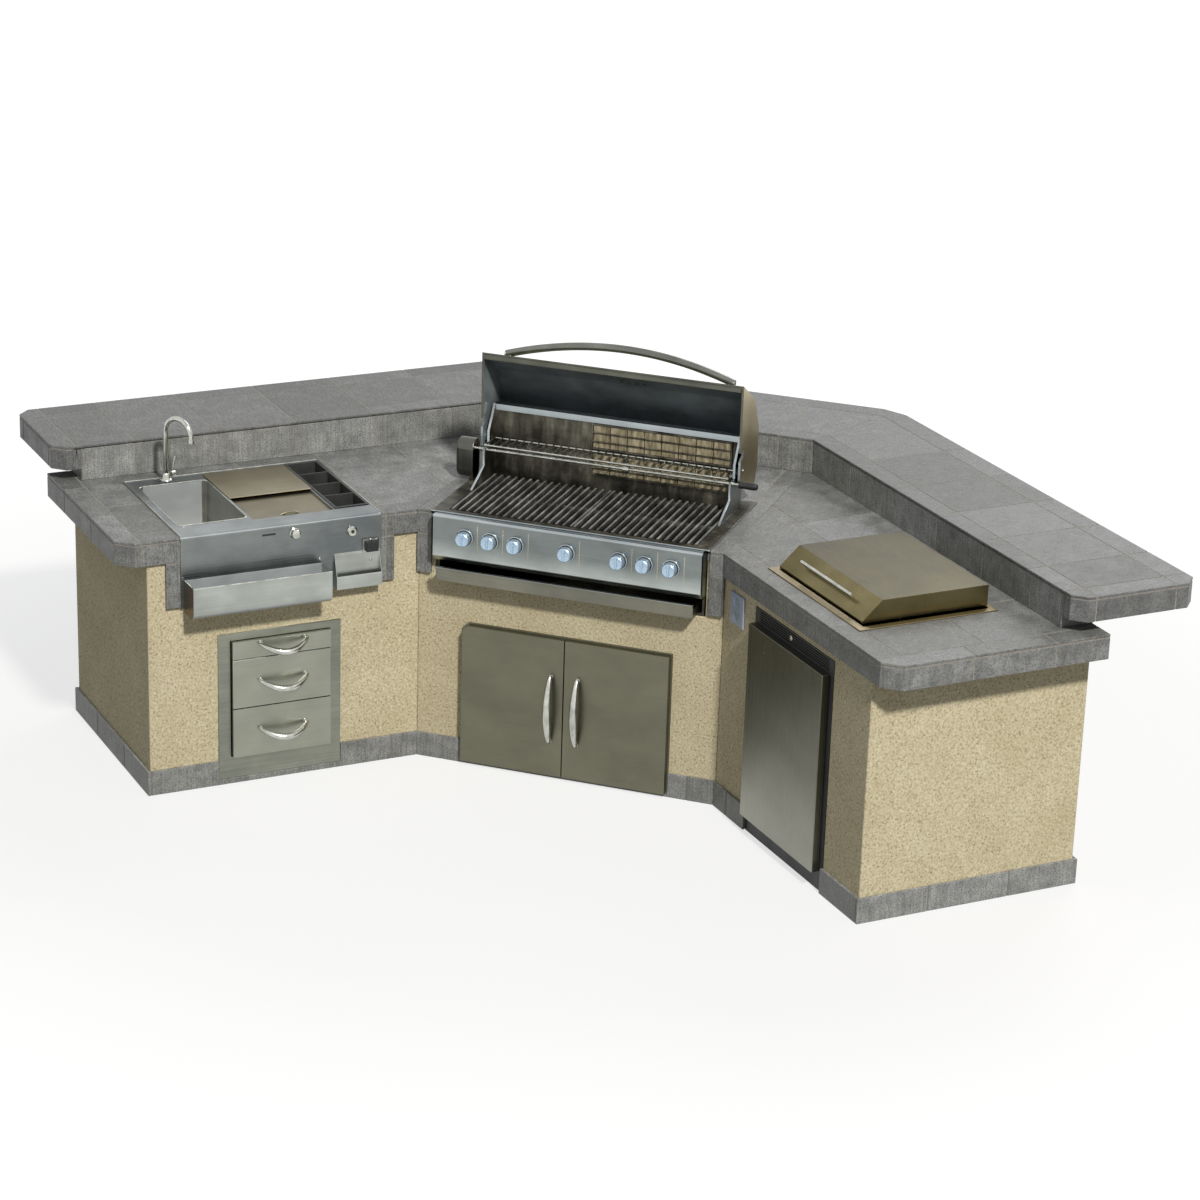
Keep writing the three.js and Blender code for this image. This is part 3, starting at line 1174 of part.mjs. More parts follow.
// Cast trivet: two crossed bars and a ring of short arms over the burner head.
function sideBurnerGrate() {
  const [u, t] = burnerCentre;
  const s = sideBurner;
  const b = trivet.bar / 2;
  const low = trivet.top - trivet.bar;
  const bars = [
    sideBox(rightSide, u - b, u + b, t - trivet.half, t + trivet.half, low, trivet.top),
    sideBox(rightSide, u - trivet.half, u + trivet.half, t - b, t + b, low, trivet.top),
  ];
  const legs = [[-1, 0], [1, 0], [0, -1], [0, 1]].map(([du, dt]) => {
    const cu = u + du * (trivet.half - b);
    const ct = t + dt * (trivet.half - b);
    return sideBox(rightSide, cu - b, cu + b, ct - b, ct + b, s.bottom + gap, trivet.top);
  });
  const ring = turned([[trivet.half - trivet.bar, s.bottom + gap], [trivet.half, s.bottom + gap],
    [trivet.half, s.bottom + gap + trivet.bar], [trivet.half - trivet.bar, s.bottom + gap + trivet.bar],
    [trivet.half - trivet.bar, s.bottom + gap]]);
  const ringSolid = solid(ring.rotateX(Math.PI / 2).translate(u, t, 0));
  return cut(join(...bars, ...legs, ringSolid), rod([u, t, low - cutOver], [u, t, trivet.top + cutOver],
    trivet.ring / 2, roundSides));
}

function sideBurnerHead() {
  const [u, t] = burnerCentre;
  const h = head;
  const foot = sideBurner.bottom - sideBurner.wall;
  const profile = [[0, foot], [h.stem, foot], [h.stem, h.bottom], [h.radius, h.bottom],
    [h.radius, h.bottom + h.height / 2], [h.cap, h.bottom + h.height], [0, h.bottom + h.height]];
  return solid(turned(profile).rotateX(Math.PI / 2).translate(u, t, 0));
}

// Double socket plate with two shallow recesses.
function outletPlate() {
  const o = outlet;
  const plate = sideBox(rightSide, o.inner, o.outer, -o.out, -gap, o.bottom, o.top);
  const middle = (o.inner + o.outer) / 2;
  const centre = (o.bottom + o.top) / 2;
  const recesses = [-1, 1].map((end) => {
    const z = centre + (end * (o.top - o.bottom)) / 4;
    return sideBox(rightSide, middle - o.slotHalf, middle + o.slotHalf, -cutOver, -o.out + o.out / 4,
      z - o.slotHigh / 2, z + o.slotHigh / 2);
  });
  return cut(plate, ...recesses);
}

add(right, 'fridge_case', fridgeCase(), blackPlastic);
add(right, 'fridge_door', fridgeDoor(), darkSteel);
add(right, 'fridge_shelf', fridgeShelf(), steel);
add(right, 'side_burner_pan', sideBurnerPan(), steel);
add(right, 'side_burner_lid', sideBurnerLid(), steel);
add(right, 'side_burner_grate', sideBurnerGrate(), castIron);
add(right, 'side_burner_head', sideBurnerHead(), castIron);
add(right, 'outlet_plate', outletPlate(), whitePlastic);

export default island;
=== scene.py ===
import math
import random

import bmesh
import bpy
from mathutils import Matrix, Vector
from mathutils.bvhtree import BVHTree
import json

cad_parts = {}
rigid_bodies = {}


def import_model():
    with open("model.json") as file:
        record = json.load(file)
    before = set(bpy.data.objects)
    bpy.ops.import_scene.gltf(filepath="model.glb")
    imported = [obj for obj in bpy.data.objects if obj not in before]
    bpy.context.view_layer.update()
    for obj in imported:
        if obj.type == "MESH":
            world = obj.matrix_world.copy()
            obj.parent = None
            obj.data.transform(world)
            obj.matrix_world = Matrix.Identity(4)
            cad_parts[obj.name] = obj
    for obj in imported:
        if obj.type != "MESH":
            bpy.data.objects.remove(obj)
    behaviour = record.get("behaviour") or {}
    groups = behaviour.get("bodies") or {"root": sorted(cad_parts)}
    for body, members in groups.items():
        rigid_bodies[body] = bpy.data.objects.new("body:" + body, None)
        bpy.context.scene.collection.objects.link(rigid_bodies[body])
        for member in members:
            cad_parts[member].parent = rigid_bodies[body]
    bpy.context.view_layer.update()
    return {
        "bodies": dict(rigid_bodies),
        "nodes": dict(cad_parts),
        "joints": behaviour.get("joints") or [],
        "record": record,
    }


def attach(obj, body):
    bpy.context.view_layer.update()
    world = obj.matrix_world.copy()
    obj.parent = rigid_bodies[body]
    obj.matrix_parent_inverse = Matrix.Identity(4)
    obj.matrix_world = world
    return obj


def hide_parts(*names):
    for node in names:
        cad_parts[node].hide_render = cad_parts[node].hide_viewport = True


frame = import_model()
nodes = frame["nodes"]
scene = bpy.context.scene
dice = random.Random(46)
print("frame loaded:", len(nodes), "nodes")

# The wings' own frames: X runs along a wing's front, Y goes back from it, Z is up.
plan = {"halfMiddle": 0.55, "frontY": -0.524, "turn": math.radians(45)}
sides = {"middle": 0, "left": -1, "right": 1}
turns = {wing: -side * plan["turn"] for wing, side in sides.items()}
places = {wing: Matrix.Translation((side * plan["halfMiddle"], plan["frontY"], 0))
          @ Matrix.Rotation(turns[wing], 4, "Z") for wing, side in sides.items()}
# turns a part that is made upright to face the front, or to lie along X
facing = Matrix.Rotation(math.radians(90), 4, "X")
lying = Matrix.Rotation(math.radians(90), 4, "Y")


def shifted(x, y, z):
    return Matrix.Translation((x, y, z))


# Camera and light

cameraLook = {
    "place": (3.61686, -10.77735, 4.75801), "yaw": 18.8668, "pitch": 20.6355, "roll": 1.8483,
    "lens": 102.627, "sensor": 36, "reach": 200,
}


def makeCamera():
    look = cameraLook
    data = bpy.data.cameras.new("camera")
    data.sensor_width = look["sensor"]
    data.lens = look["lens"]
    data.clip_end = look["reach"]
    camera = bpy.data.objects.new("camera", data)
    turn = (Matrix.Rotation(math.radians(look["yaw"]), 4, "Z")
            @ Matrix.Rotation(math.radians(90 - look["pitch"]), 4, "X")
            @ Matrix.Rotation(math.radians(look["roll"]), 4, "Z"))
    camera.matrix_world = Matrix.Translation(look["place"]) @ turn
    scene.collection.objects.link(camera)
    scene.camera = camera


lampAim = (0, -0.2, 0.5)
lampLooks = {
    "keyLamp": {"place": (12.9, -15.5, 20.0), "size": 2.5, "power": 7000, "hue": (1.0, 0.985, 0.96)},
    "fillLamp": {"place": (-7.0, -7.5, 6.0), "size": 6.0, "power": 20, "hue": (0.95, 0.97, 1.0)},
    "backLamp": {"place": (1.0, 8.0, 7.0), "size": 5.0, "power": 260, "hue": (1.0, 1.0, 1.0)},
}


def makeLamps():
    for name, look in lampLooks.items():
        data = bpy.data.lights.new(name, "AREA")
        data.shape = "DISK"
        data.size = look["size"]
        data.energy = look["power"]
        data.color = look["hue"]
        lamp = bpy.data.objects.new(name, data)
        lamp.location = look["place"]
        aim = Vector(lampAim) - lamp.location
        lamp.rotation_euler = aim.to_track_quat("-Z", "Y").to_euler()
        scene.collection.objects.link(lamp)


# Colours and materials

def linear(hexColour):
    parts = [int(hexColour[i:i + 2], 16) / 255 for i in (1, 3, 5)]
    return (*[c / 12.92 if c <= 0.04045 else ((c + 0.055) / 1.055) ** 2.4 for c in parts], 1.0)


def addNode(tree, kind, settings=None, links=None):
    node = tree.nodes.new(kind)
    for name, value in (settings or {}).items():
        if hasattr(node, name):
            setattr(node, name, value)
        else:
            node.inputs[name].default_value = value
    for name, source in (links or {}).items():
        tree.links.new(source, node.inputs[name])
    return node


def newMaterial(name, settings):
    material = bpy.data.materials.new(name)
    material.use_nodes = True
    tree = material.node_tree
    tree.nodes.clear()
    shader = addNode(tree, "ShaderNodeBsdfPrincipled", settings)
    addNode(tree, "ShaderNodeOutputMaterial", links={"Surface": shader.outputs["BSDF"]})
    return material, tree, shader


def pattern(tree, size, turn=0.0, detail=3.0, seedPlace=(0, 0, 0)):
    # noise whose features have this size in metres along the turned X, Y and Z
    coords = addNode(tree, "ShaderNodeTexCoord")
    place = addNode(tree, "ShaderNodeMapping", {
        "vector_type": "TEXTURE", "Location": seedPlace, "Rotation": (0, 0, turn), "Scale": size,
    }, {"Vector": coords.outputs["Object"]})
    noise = addNode(tree, "ShaderNodeTexNoise", {"Scale": 1.0, "Detail": detail, "Roughness": 0.6},
                    {"Vector": place.outputs["Vector"]})
    return noise.outputs["Fac"]


def ramp(tree, source, stops):
    node = addNode(tree, "ShaderNodeValToRGB", links={"Fac": source})
    band = node.color_ramp
    while len(band.elements) < len(stops):
        band.elements.new(0.5)
    for element, (position, colour) in zip(band.elements, stops):
        element.position = position
        element.color = linear(colour)
    return node.outputs["Color"]


def spread(tree, source, low, high, fromLow=0.3, fromHigh=0.7):
    return addNode(tree, "ShaderNodeMapRange", {
        "From Min": fromLow, "From Max": fromHigh, "To Min": low, "To Max": high,
    }, {"Value": source}).outputs["Result"]


def calculate(tree, operation, first, second):
    node = addNode(tree, "ShaderNodeMath", {"operation": operation})
    tree.links.new(first, node.inputs[0])
    tree.links.new(second, node.inputs[1])
    return node.outputs["Value"]


def mixColours(tree, first, second, share, kind="MIX"):
    node = addNode(tree, "ShaderNodeMix", {"data_type": "RGBA", "blend_type": kind})
    # a colour mix has its share at input 0 and its two colours at 6 and 7
    for place, source in ((6, first), (7, second), (0, share)):
        socket = node.inputs[place]
        if hasattr(source, "links"):
            tree.links.new(source, socket)
        else:
            socket.default_value = source
    return node.outputs[2]


def wire(tree, shader, colour, roughness=None, relief=None):
    # relief is a height, its strength and its depth in metres
    tree.links.new(colour, shader.inputs["Base Color"])
    if roughness is not None:
        tree.links.new(roughness, shader.inputs["Roughness"])
    if relief is not None:
        height, strength, depth = relief
        bump = addNode(tree, "ShaderNodeBump", {"Strength": strength, "Distance": depth},
                       {"Height": height})
        tree.links.new(bump.outputs["Normal"], shader.inputs["Normal"])


# Troweled acrylic stucco with sand in it: a warm dry wall, speckled and slightly uneven.
# Real sand is 1 to 2 mm; it is drawn at 7 mm so that the speckle shows at this distance.
def sandStucco():
    material, tree, shader = newMaterial("sandStucco", {"Roughness": 0.93, "IOR": 1.45})
    grain = pattern(tree, (0.007, 0.007, 0.007), detail=2.0)
    cloud = pattern(tree, (0.2, 0.2, 0.2), detail=4.0)
    sand = ramp(tree, grain, [(0.3, "#9C9075"), (0.42, "#CABD9B"), (0.58, "#D7CCAB"),
                              (0.74, "#E7DFC3")])
    shade = ramp(tree, cloud, [(0.3, "#E9E4DB"), (0.7, "#FFFFFF")])
    wire(tree, shader, mixColours(tree, sand, shade, 0.7, "MULTIPLY"), relief=(grain, 0.4, 0.002))
    return material


# Pressed porcelain tile with a slate look: grey, clouded, faintly streaked, each tile its own tone.
# Clouds are 70 mm, streaks 6 mm and flecks 5 mm wide.
def slatePorcelain(name, dark, middle, light, turn):
    material, tree, shader = newMaterial(name, {"IOR": 1.5})
    cloud = pattern(tree, (0.07, 0.07, 0.05), turn, 5.0)
    streak = pattern(tree, (0.006, 0.03, 0.09), turn, 3.0, (3, 1, 2))
    fleck = pattern(tree, (0.005, 0.005, 0.005), turn, 2.0, (1, 5, 2))
    tone = addNode(tree, "ShaderNodeAttribute", {"attribute_name": "tileTone"}).outputs["Fac"]
    colour = ramp(tree, cloud, [(0.3, dark), (0.5, middle), (0.72, light)])
    for source, stops, share in ((streak, [(0.34, "#B9B9B6"), (0.6, "#FFFFFF")], 0.55),
                                 (fleck, [(0.36, "#9C9C99"), (0.54, "#FFFFFF")], 0.75),
                                 (tone, [(0, "#DDDDDA"), (1.0, "#FFFFFF")], 1.0)):
        colour = mixColours(tree, colour, ramp(tree, source, stops), share, "MULTIPLY")
    wire(tree, shader, colour, spread(tree, cloud, 0.42, 0.66),
         (calculate(tree, "ADD", cloud, streak), 0.35, 0.0015))
    return material


# Brushed 304 stainless sheet: fine lines along the sheet, soft broad highlights, cloudy from heat and
# weather. The brush lines are 0.2 mm wide in real life and are drawn 3 mm wide to show.
def brushedSteel(name, dark, light, roughness, turn=0.0, lines=(0.5, 0.003, 0.003), metal=1.0,
                 reflectionFade=None, marked=0.7):
    material, tree, shader = newMaterial(name, {"Metallic": metal})
    brush = pattern(tree, lines, turn, 3.0)
    cloud = pattern(tree, (0.22, 0.22, 0.16), turn, 3.0, (4, 2, 7))
    base = ramp(tree, cloud, [(0.32, dark), (0.68, light)])
    fine = ramp(tree, brush, [(0.3, "#DADADA"), (0.65, "#FFFFFF")])
    colour = mixColours(tree, base, fine, marked, "MULTIPLY")
    if reflectionFade:
        # painted reflection: the sheet is graded along its height, lighter low down and darker higher
        # up, as if the bright floor showed in its lower part
        foot, head, stops = reflectionFade
        coords = addNode(tree, "ShaderNodeTexCoord")
        split = addNode(tree, "ShaderNodeSeparateXYZ", links={"Vector": coords.outputs["Object"]})
        height = spread(tree, split.outputs["Z"], 0, 1, foot, head)
        colour = mixColours(tree, colour, ramp(tree, height, stops), 1.0, "MULTIPLY")
    wire(tree, shader, colour, spread(tree, brush, roughness - 0.05, roughness + 0.08),
         (brush, 0.15 * marked, 0.0006))
    return material


# Firebox stainless after many fires: brown straw tints, soot and grease runs down the walls.
def smokedSteel():
    material, tree, shader = newMaterial("smokedSteel", {"Metallic": 0.85})
    run = pattern(tree, (0.035, 0.035, 0.2), detail=4.0)
    soot = pattern(tree, (0.12, 0.12, 0.09), detail=4.0, seedPlace=(2, 6, 1))
    base = ramp(tree, run, [(0.3, "#3F3D36"), (0.5, "#625F54"), (0.72, "#8B8778")])
    dark = ramp(tree, soot, [(0.36, "#6E6A62"), (0.6, "#FFFFFF")])
    wire(tree, shader, mixColours(tree, base, dark, 0.8, "MULTIPLY"), spread(tree, soot, 0.34, 0.56))
    return material


def grained(name, settings, size, stops, detail=3.0, gloss=None, seedPlace=(0, 0, 0), skin=None):
    # colour and roughness follow one noise, and the relief of the skin follows a finer one
    material, tree, shader = newMaterial(name, settings)
    cloud = pattern(tree, size, detail=detail, seedPlace=seedPlace)
    roughness = spread(tree, cloud, *gloss) if gloss else None
    relief = None
    if skin:
        fine, fineDetail, strength, depth = skin
        relief = (pattern(tree, (fine, fine, fine), detail=fineDetail), strength, depth)
    wire(tree, shader, ramp(tree, cloud, stops), roughness, relief)
    return material


# Sanded cement grout: flat and dry, warmer and lighter than the tiles, a little dirty in places. Part
# of its lightness is painted highlight, for the light that the tiles' edges catch along the joints.
def cementGrout(name, dark, light):
    return grained(name, {"Roughness": 0.95, "IOR": 1.45}, (0.008, 0.008, 0.008),
                   [(0.3, dark), (0.7, light)])


# Seasoned cast iron: black-brown, dull, with a pebbled skin. The lighter copy of it goes on the grate
# bars' upward faces, as worn tops and painted highlight.
def castIron(name, dark, middle, light):
    return grained(name, {"Metallic": 0.35}, (0.05, 0.09, 0.05),
                   [(0.35, dark), (0.55, middle), (0.75, light)], 4.0, (0.5, 0.72), (5, 1, 3),
                   (0.004, 3.0, 0.4, 0.0008))


# Moulded plastic with a fine mat texture.
def mouldedPlastic(name, dark, light, roughness):
    return grained(name, {"IOR": 1.49}, (0.08, 0.08, 0.08), [(0.3, dark), (0.7, light)], 3.0,
                   (roughness - 0.06, roughness + 0.08), (2, 2, 9), (0.004, 2.0, 0.15, 0.0004))


paint = {
    "sandStucco": sandStucco(),
    "cementGrout": cementGrout("cementGrout", "#7E7A72", "#A39D91"),
    "footGrout": cementGrout("footGrout", "#6F6C66", "#8D8982"),
    # Polished stainless bar: bright narrow highlights with faint wipe marks.
    "polishedSteel": grained("polishedSteel", {"Metallic": 1.0}, (0.03, 0.03, 0.05),
                             [(0.3, "#A6A79E"), (0.7, "#CFD0C9")], 3.0, (0.14, 0.26)),
    # Satin-machined knob metal; its blue base colour is a painted reflection of the sky.
    "satinKnob": grained("satinKnob", {"Metallic": 0.75}, (0.004, 0.02, 0.004),
                         [(0.3, "#9DB8CF"), (0.7, "#C3D5E3")], 2.0, (0.24, 0.36)),
    # Heat-blackened enamel inside the hood: near black, smoky, with soft gloss where it is clean.
    "smokedEnamel": grained("smokedEnamel", {"IOR": 1.5}, (0.16, 0.16, 0.1),
                            [(0.3, "#54595A"), (0.7, "#7B8284")], 5.0, (0.42, 0.62)),
    # Porous burner ceramic behind the spit: chalky and streaked brown by flame.
    "burnerCeramic": grained("burnerCeramic", {"Roughness": 0.9, "IOR": 1.5}, (0.012, 0.012, 0.06),
                             [(0.32, "#574D3B"), (0.5, "#8F8468"), (0.7, "#BBAF92")], 4.0),
    "smokedSteel": smokedSteel(),
    "castIron": castIron("castIron", "#30302E", "#454440", "#706E67"),
    "wornSheenIron": castIron("wornSheenIron", "#5E5E5A", "#8A8984", "#AFAEA8"),
    "blackPlastic": mouldedPlastic("blackPlastic", "#151617", "#242627", 0.5),
    "greyPlastic": mouldedPlastic("greyPlastic", "#9CA5B5", "#B7BFCD", 0.45),
    "insertPlastic": mouldedPlastic("insertPlastic", "#2B2C2A", "#3A3B38", 0.5),
}
# Stainless sheets, by the wing that their brushing follows: dark tone, light tone, roughness and
# what else sets one apart. Tones are as the sheets' places in sun and shade show them.
sheets = {
    "middle": {
        "hoodSteel": ("#8C8878", "#999584", 0.3, {"marked": 0.5}),
        "gripSteel": ("#6B6C66", "#8C8E87", 0.26, {"lines": (0.4, 0.006, 0.006), "marked": 0.4}),
        "rimSteel": ("#55564D", "#6E6F65", 0.34, {}),
        # a warmer, lighter copy of the hood steel for the cheeks: painted reflection of the stucco
        "cheekReflectionSteel": ("#A59774", "#CABC98", 0.32, {"marked": 0.4}),
        # the panel's grading below is a painted reflection: lighter at its foot, darker towards its
        # top
        "panelSteel": ("#AFB6B2", "#CCD3CF", 0.3, {
            "reflectionFade": (0.765, 0.83, [(0, "#F4F4F4"), (1.0, "#ABADAE")]), "marked": 0.35}),
        # a lighter copy of the panel steel for rolled edges, lips and upward faces: painted highlight
        "panelEdge": ("#A3ABAE", "#BCC3C5", 0.28, {}),
        "lineSteel": ("#A8A395", "#C4BFAF", 0.35, {}),
        "motorSteel": ("#4C4C48", "#676761", 0.25, {"lines": (0.004, 0.3, 0.3)}),
        "traySteel": ("#737267", "#868577", 0.3, {"marked": 0.3}),
        "doorSteel": ("#6E6D5D", "#797867", 0.36, {"marked": 0.3}),
    },
    "left": {
        "deckSteel": ("#83898B", "#A3A8A8", 0.3, {}),
        # lighter and less metallic than the deck, for the basin's hollow: painted light
        "basinLitSteel": ("#94938A", "#AEADA3", 0.32, {"lines": (0.3, 0.3, 0.02), "metal": 0.7}),
        # a darker copy of the deck steel for the apron's front: painted shade
        "apronShadeSteel": ("#707576", "#8B8F8D", 0.3, {"marked": 0.4}),
        # darker and brown, for the end faces: painted shade and painted reflection of the stucco
        "endShadeAndReflectionSteel": ("#5F5240", "#7C6C54", 0.34, {}),
        "iceSteel": ("#8C846D", "#A39B84", 0.34, {"marked": 0.4}),
        # a darker copy of the ice-lid steel for the front lid: painted shade
        "frontIceShadeSteel": ("#7A7360", "#918A75", 0.36, {"marked": 0.4}),
        "railSteel": ("#A0A49E", "#BEC3BD", 0.32, {"marked": 0.4}),
        # a lighter, less metallic copy for the faces inside the rail and the trough: painted light
        "troughLitSteel": ("#A9ADAD", "#C2C6C5", 0.4, {"metal": 0.3, "marked": 0.3}),
        "drawerSteel": ("#989A8D", "#A5A79A", 0.34, {"marked": 0.3}),
        "frameSteel": ("#82857A", "#989B8E", 0.36, {}),
    },
    "right": {
        # the fridge door's grading below is a painted reflection: white low down, darker towards the
        # top
        "fridgeSteel": ("#8C8C82", "#96968C", 0.3, {
            "lines": (0.003, 0.003, 0.5), "marked": 0.3,
            "reflectionFade": (0.1, 0.7, [(0, "#FFFFFF"), (0.5, "#B9B9B2"), (1.0, "#A3A39A")])}),
        "lidSteel": ("#686040", "#877D5A", 0.3, {"marked": 0.3}),
        # a darker copy of the lid steel for the lid's top faces: painted shade
        "lidTopShadeSteel": ("#39351F", "#4C4629", 0.3, {"marked": 0.3}),
        "sideSteel": ("#8A7D62", "#A09272", 0.3, {}),
    },
}
# Tiles on the counters, the bar tops and the risers: dark, middle and light tone. They are one
# porcelain: the bar-top copy is painted darker, as painted shade, and the riser copy, which the
# plinth also wears, is painted lighter, as painted light.
tileTones = {
    "Tile": ("#7A7A78", "#90908E", "#A8A8A6"),
    "Bar": ("#6E6E6D", "#828281", "#979796"),
    "Riser": ("#8B8B88", "#A0A09D", "#B8B8B4"),
}
for wing, looks in sheets.items():
    for name, (dark, light, roughness, more) in looks.items():
        paint[name] = brushedSteel(name, dark, light, roughness, turns[wing], **more)
    for finish, tones in tileTones.items():
        paint[wing + finish] = slatePorcelain(wing + finish, *tones, turns[wing])
print("materials made:", len(bpy.data.materials))


# Shape helpers. Angles are in degrees; along is how near a normal keeps to a direction.

helperLook = {"flat": 0.6, "sharp": 28, "smooth": 32, "along": 0.9, "weld": 2e-5}
along = helperLook["along"]


def joinFlats(bm):
    bmesh.ops.dissolve_limit(bm, angle_limit=math.radians(helperLook["flat"]),
                             use_dissolve_boundaries=False, verts=bm.verts, edges=bm.edges)


def cadCopy(node, spare=None):
    # the node's loose triangles, merged and with their flat faces joined; spare picks verts to drop
    bm = bmesh.new()
    bm.from_mesh(nodes[node].data)
    bmesh.ops.remove_doubles(bm, verts=bm.verts, dist=helperLook["weld"])
    if spare:
        bmesh.ops.delete(bm, geom=[v for v in bm.verts if spare(v.co)], context="VERTS")
        bmesh.ops.holes_fill(bm, edges=[e for e in bm.edges if e.is_boundary], sides=0)
    joinFlats(bm)
    return bm


def sharpEdges(bm, length=0.0, angle=helperLook["sharp"]):
    limit = math.radians(angle)
    return [e for e in bm.edges
            if e.is_manifold and e.calc_length() > length and e.calc_face_angle(0) > limit]


def bevelEdges(bm, edges, width, segments):
    if edges:
        bmesh.ops.bevel(bm, geom=edges, offset=width, offset_type="OFFSET", segments=segments,
                        profile=0.5, affect="EDGES", clamp_overlap=True, material=-1)


def block(bm, low, high, bevel=0.0, segments=2):
    verts = bmesh.ops.create_cube(bm, size=1)["verts"]
    bmesh.ops.scale(bm, vec=[abs(b - a) for a, b in zip(low, high)], verts=verts)
    bmesh.ops.translate(bm, vec=[(a + b) / 2 for a, b in zip(low, high)], verts=verts)
    if bevel:
        bevelEdges(bm, list({e for v in verts for e in v.link_edges}), bevel, segments)


def rod(bm, start, end, radius, sides=24, bevel=0.0):
    start, end = Vector(start), Vector(end)
    reach = end - start
    matrix = (Matrix.Translation((start + end) / 2)
              @ reach.to_track_quat("Z", "Y").to_matrix().to_4x4())
    made = bmesh.ops.create_cone(bm, cap_ends=True, segments=sides, radius1=radius, radius2=radius,
                                 depth=reach.length, matrix=matrix)
    if bevel:
        rims = {e for v in made["verts"] for e in v.link_edges
                if any(len(f.verts) == sides for f in e.link_faces)}
        bevelEdges(bm, list(rims), bevel, 3)


def turned(bm, profile, matrix, steps=32):
    # profile of radius and height, turned round Z and then placed
    before = set(bm.verts)
    verts = [bm.verts.new((r, 0, z)) for r, z in profile]
    edges = [bm.edges.new(pair) for pair in zip(verts, verts[1:])]
    bmesh.ops.spin(bm, geom=verts + edges, cent=(0, 0, 0), axis=(0, 0, 1), angle=math.tau,
                   steps=steps, use_merge=True)
    made = [v for v in bm.verts if v not in before]
    bmesh.ops.transform(bm, matrix=matrix, verts=made)
    bmesh.ops.remove_doubles(bm, verts=made, dist=1e-6)


def pipe(bm, points, radius, sides=8, radii=None, smooth=False):
    # round bar along a line; radii give its thickness at each point as shares of radius
    curve = bpy.data.curves.new("pipe", "CURVE")
    curve.dimensions = "3D"
    curve.bevel_depth = radius
    curve.bevel_resolution = sides // 2
    curve.use_fill_caps = True
    curve.resolution_u = 8
    line = curve.splines.new("NURBS" if smooth else "POLY")
    line.points.add(len(points) - 1)
    for i, (point, place) in enumerate(zip(line.points, points)):
        point.co = (*place, 1)
        point.radius = radii[i] if radii else 1
    if smooth:
        line.order_u = 4
        line.use_endpoint_u = True
    holder = bpy.data.objects.new("pipe", curve)
    mesh = bpy.data.meshes.new_from_object(holder)
    bm.from_mesh(mesh)
    bpy.data.objects.remove(holder)
    bpy.data.curves.remove(curve)
    bpy.data.meshes.remove(mesh)


def extrudeX(bm, section, x0, x1):
    verts = [bm.verts.new((x0, y, z)) for y, z in section]
    face = bm.faces.new(verts)
    made = bmesh.ops.extrude_face_region(bm, geom=[face])
    moved = [g for g in made["geom"] if isinstance(g, bmesh.types.BMVert)]
    bmesh.ops.translate(bm, vec=(x1 - x0, 0, 0), verts=moved)


def soften(bm, width, steps, *limits):
    # rounds the edges that sharpEdges finds within these limits
    bevelEdges(bm, sharpEdges(bm, *limits), width, steps)


def piece(bm, name, look, place=None, replaces=None, body="island"):
    # look is a paint's name, or names one for a face's centre and normal; place is a wing or a matrix
    bm.normal_update()
    used = []
    for face in bm.faces:
        face.smooth = True
        one = look(face.calc_center_median(), face.normal) if callable(look) else look
        if one not in used:
            used.append(one)
        face.material_index = used.index(one)
    if place is not None:
        matrix = places[place] if isinstance(place, str) else place
        bmesh.ops.transform(bm, matrix=matrix, verts=bm.verts)
    bmesh.ops.recalc_face_normals(bm, faces=bm.faces)
    mesh = bpy.data.meshes.new(name)
    bm.to_mesh(mesh)
    bm.free()
    mesh.set_sharp_from_angle(angle=math.radians(helperLook["smooth"]))
    made = bpy.data.objects.new(name, mesh)
    crisp = made.modifiers.new("crisp", "WEIGHTED_NORMAL")
    crisp.keep_sharp = True
    for one in used:
        mesh.materials.append(paint[one])
    scene.collection.objects.link(made)
    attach(made, body)
    if replaces:
        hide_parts(replaces)


def toWing(bm, wing):
    bmesh.ops.transform(bm, matrix=places[wing].inverted(), verts=bm.verts)


def cadPiece(node, name, look, bevel, body="island", wing=None):
    # the node's own solid; bevel is its width, its steps, the shortest edge it takes and the angle
    bm = cadCopy(node)
    soften(bm, *bevel)
    if wing:
        toWing(bm, wing)
    piece(bm, name, look, wing, node, body)


def dress(node, name):
    for holder in nodes[node].material_slots:
        holder.material = paint[name]


# Stucco walls, with their corners rubbed round

def makeWalls():
    for wing in places:
        cadPiece(wing + "_base", wing + "Wall", "sandStucco", (0.005, 3))


# Tiles: each is cut out of its node's solid, and grout fills the joints between them.
# Joint lines are in metres along a wing, back from its front and up; far is beyond the object.

far = 9.0
tileLook = {"joint": 0.0045, "edge": 0.0018, "sunk": 0.0012}
middleJoints = [-far, -0.45, -0.15, 0.15, 0.45, far]
counterLook = {
    "trim": 0.071, "rows": [0.071, 0.371, far], "under": 0.828, "sheet": 0.903,
    "joints": [-far, -0.173, 0.127, 0.427, 0.727], "ends": {"left": 0.996, "right": 1.027},
    "endJoints": [-far, 0.293, 0.593, far],
    "middleJoints": [-far, -0.484, -0.3, 0, 0.3, 0.484, far],
    "middleRows": [0.071, 0.371, 0.671, far],
}
barLook = {
    "left": [-far, -0.404, -0.104, 0.196, 0.496, 0.793, 1.002],
    "right": [-far, -0.35, -0.05, 0.234, 0.508, 0.793, 1.008],
    "rows": [-far, 0.74, 1.04, far], "middleRows": [-far, 0.988, 1.288, far],
    "levels": [-far, 1.03, far],
}
riserLook = {
    "left": [-far, -0.404, -0.104, 0.196, 0.496, 0.793, 0.977, far],
    "right": [-far, -0.356, -0.063, 0.23, 0.523, 0.816, 0.991, far],
    "middle": middleJoints, "rows": [-far, 0.6795, far],
}
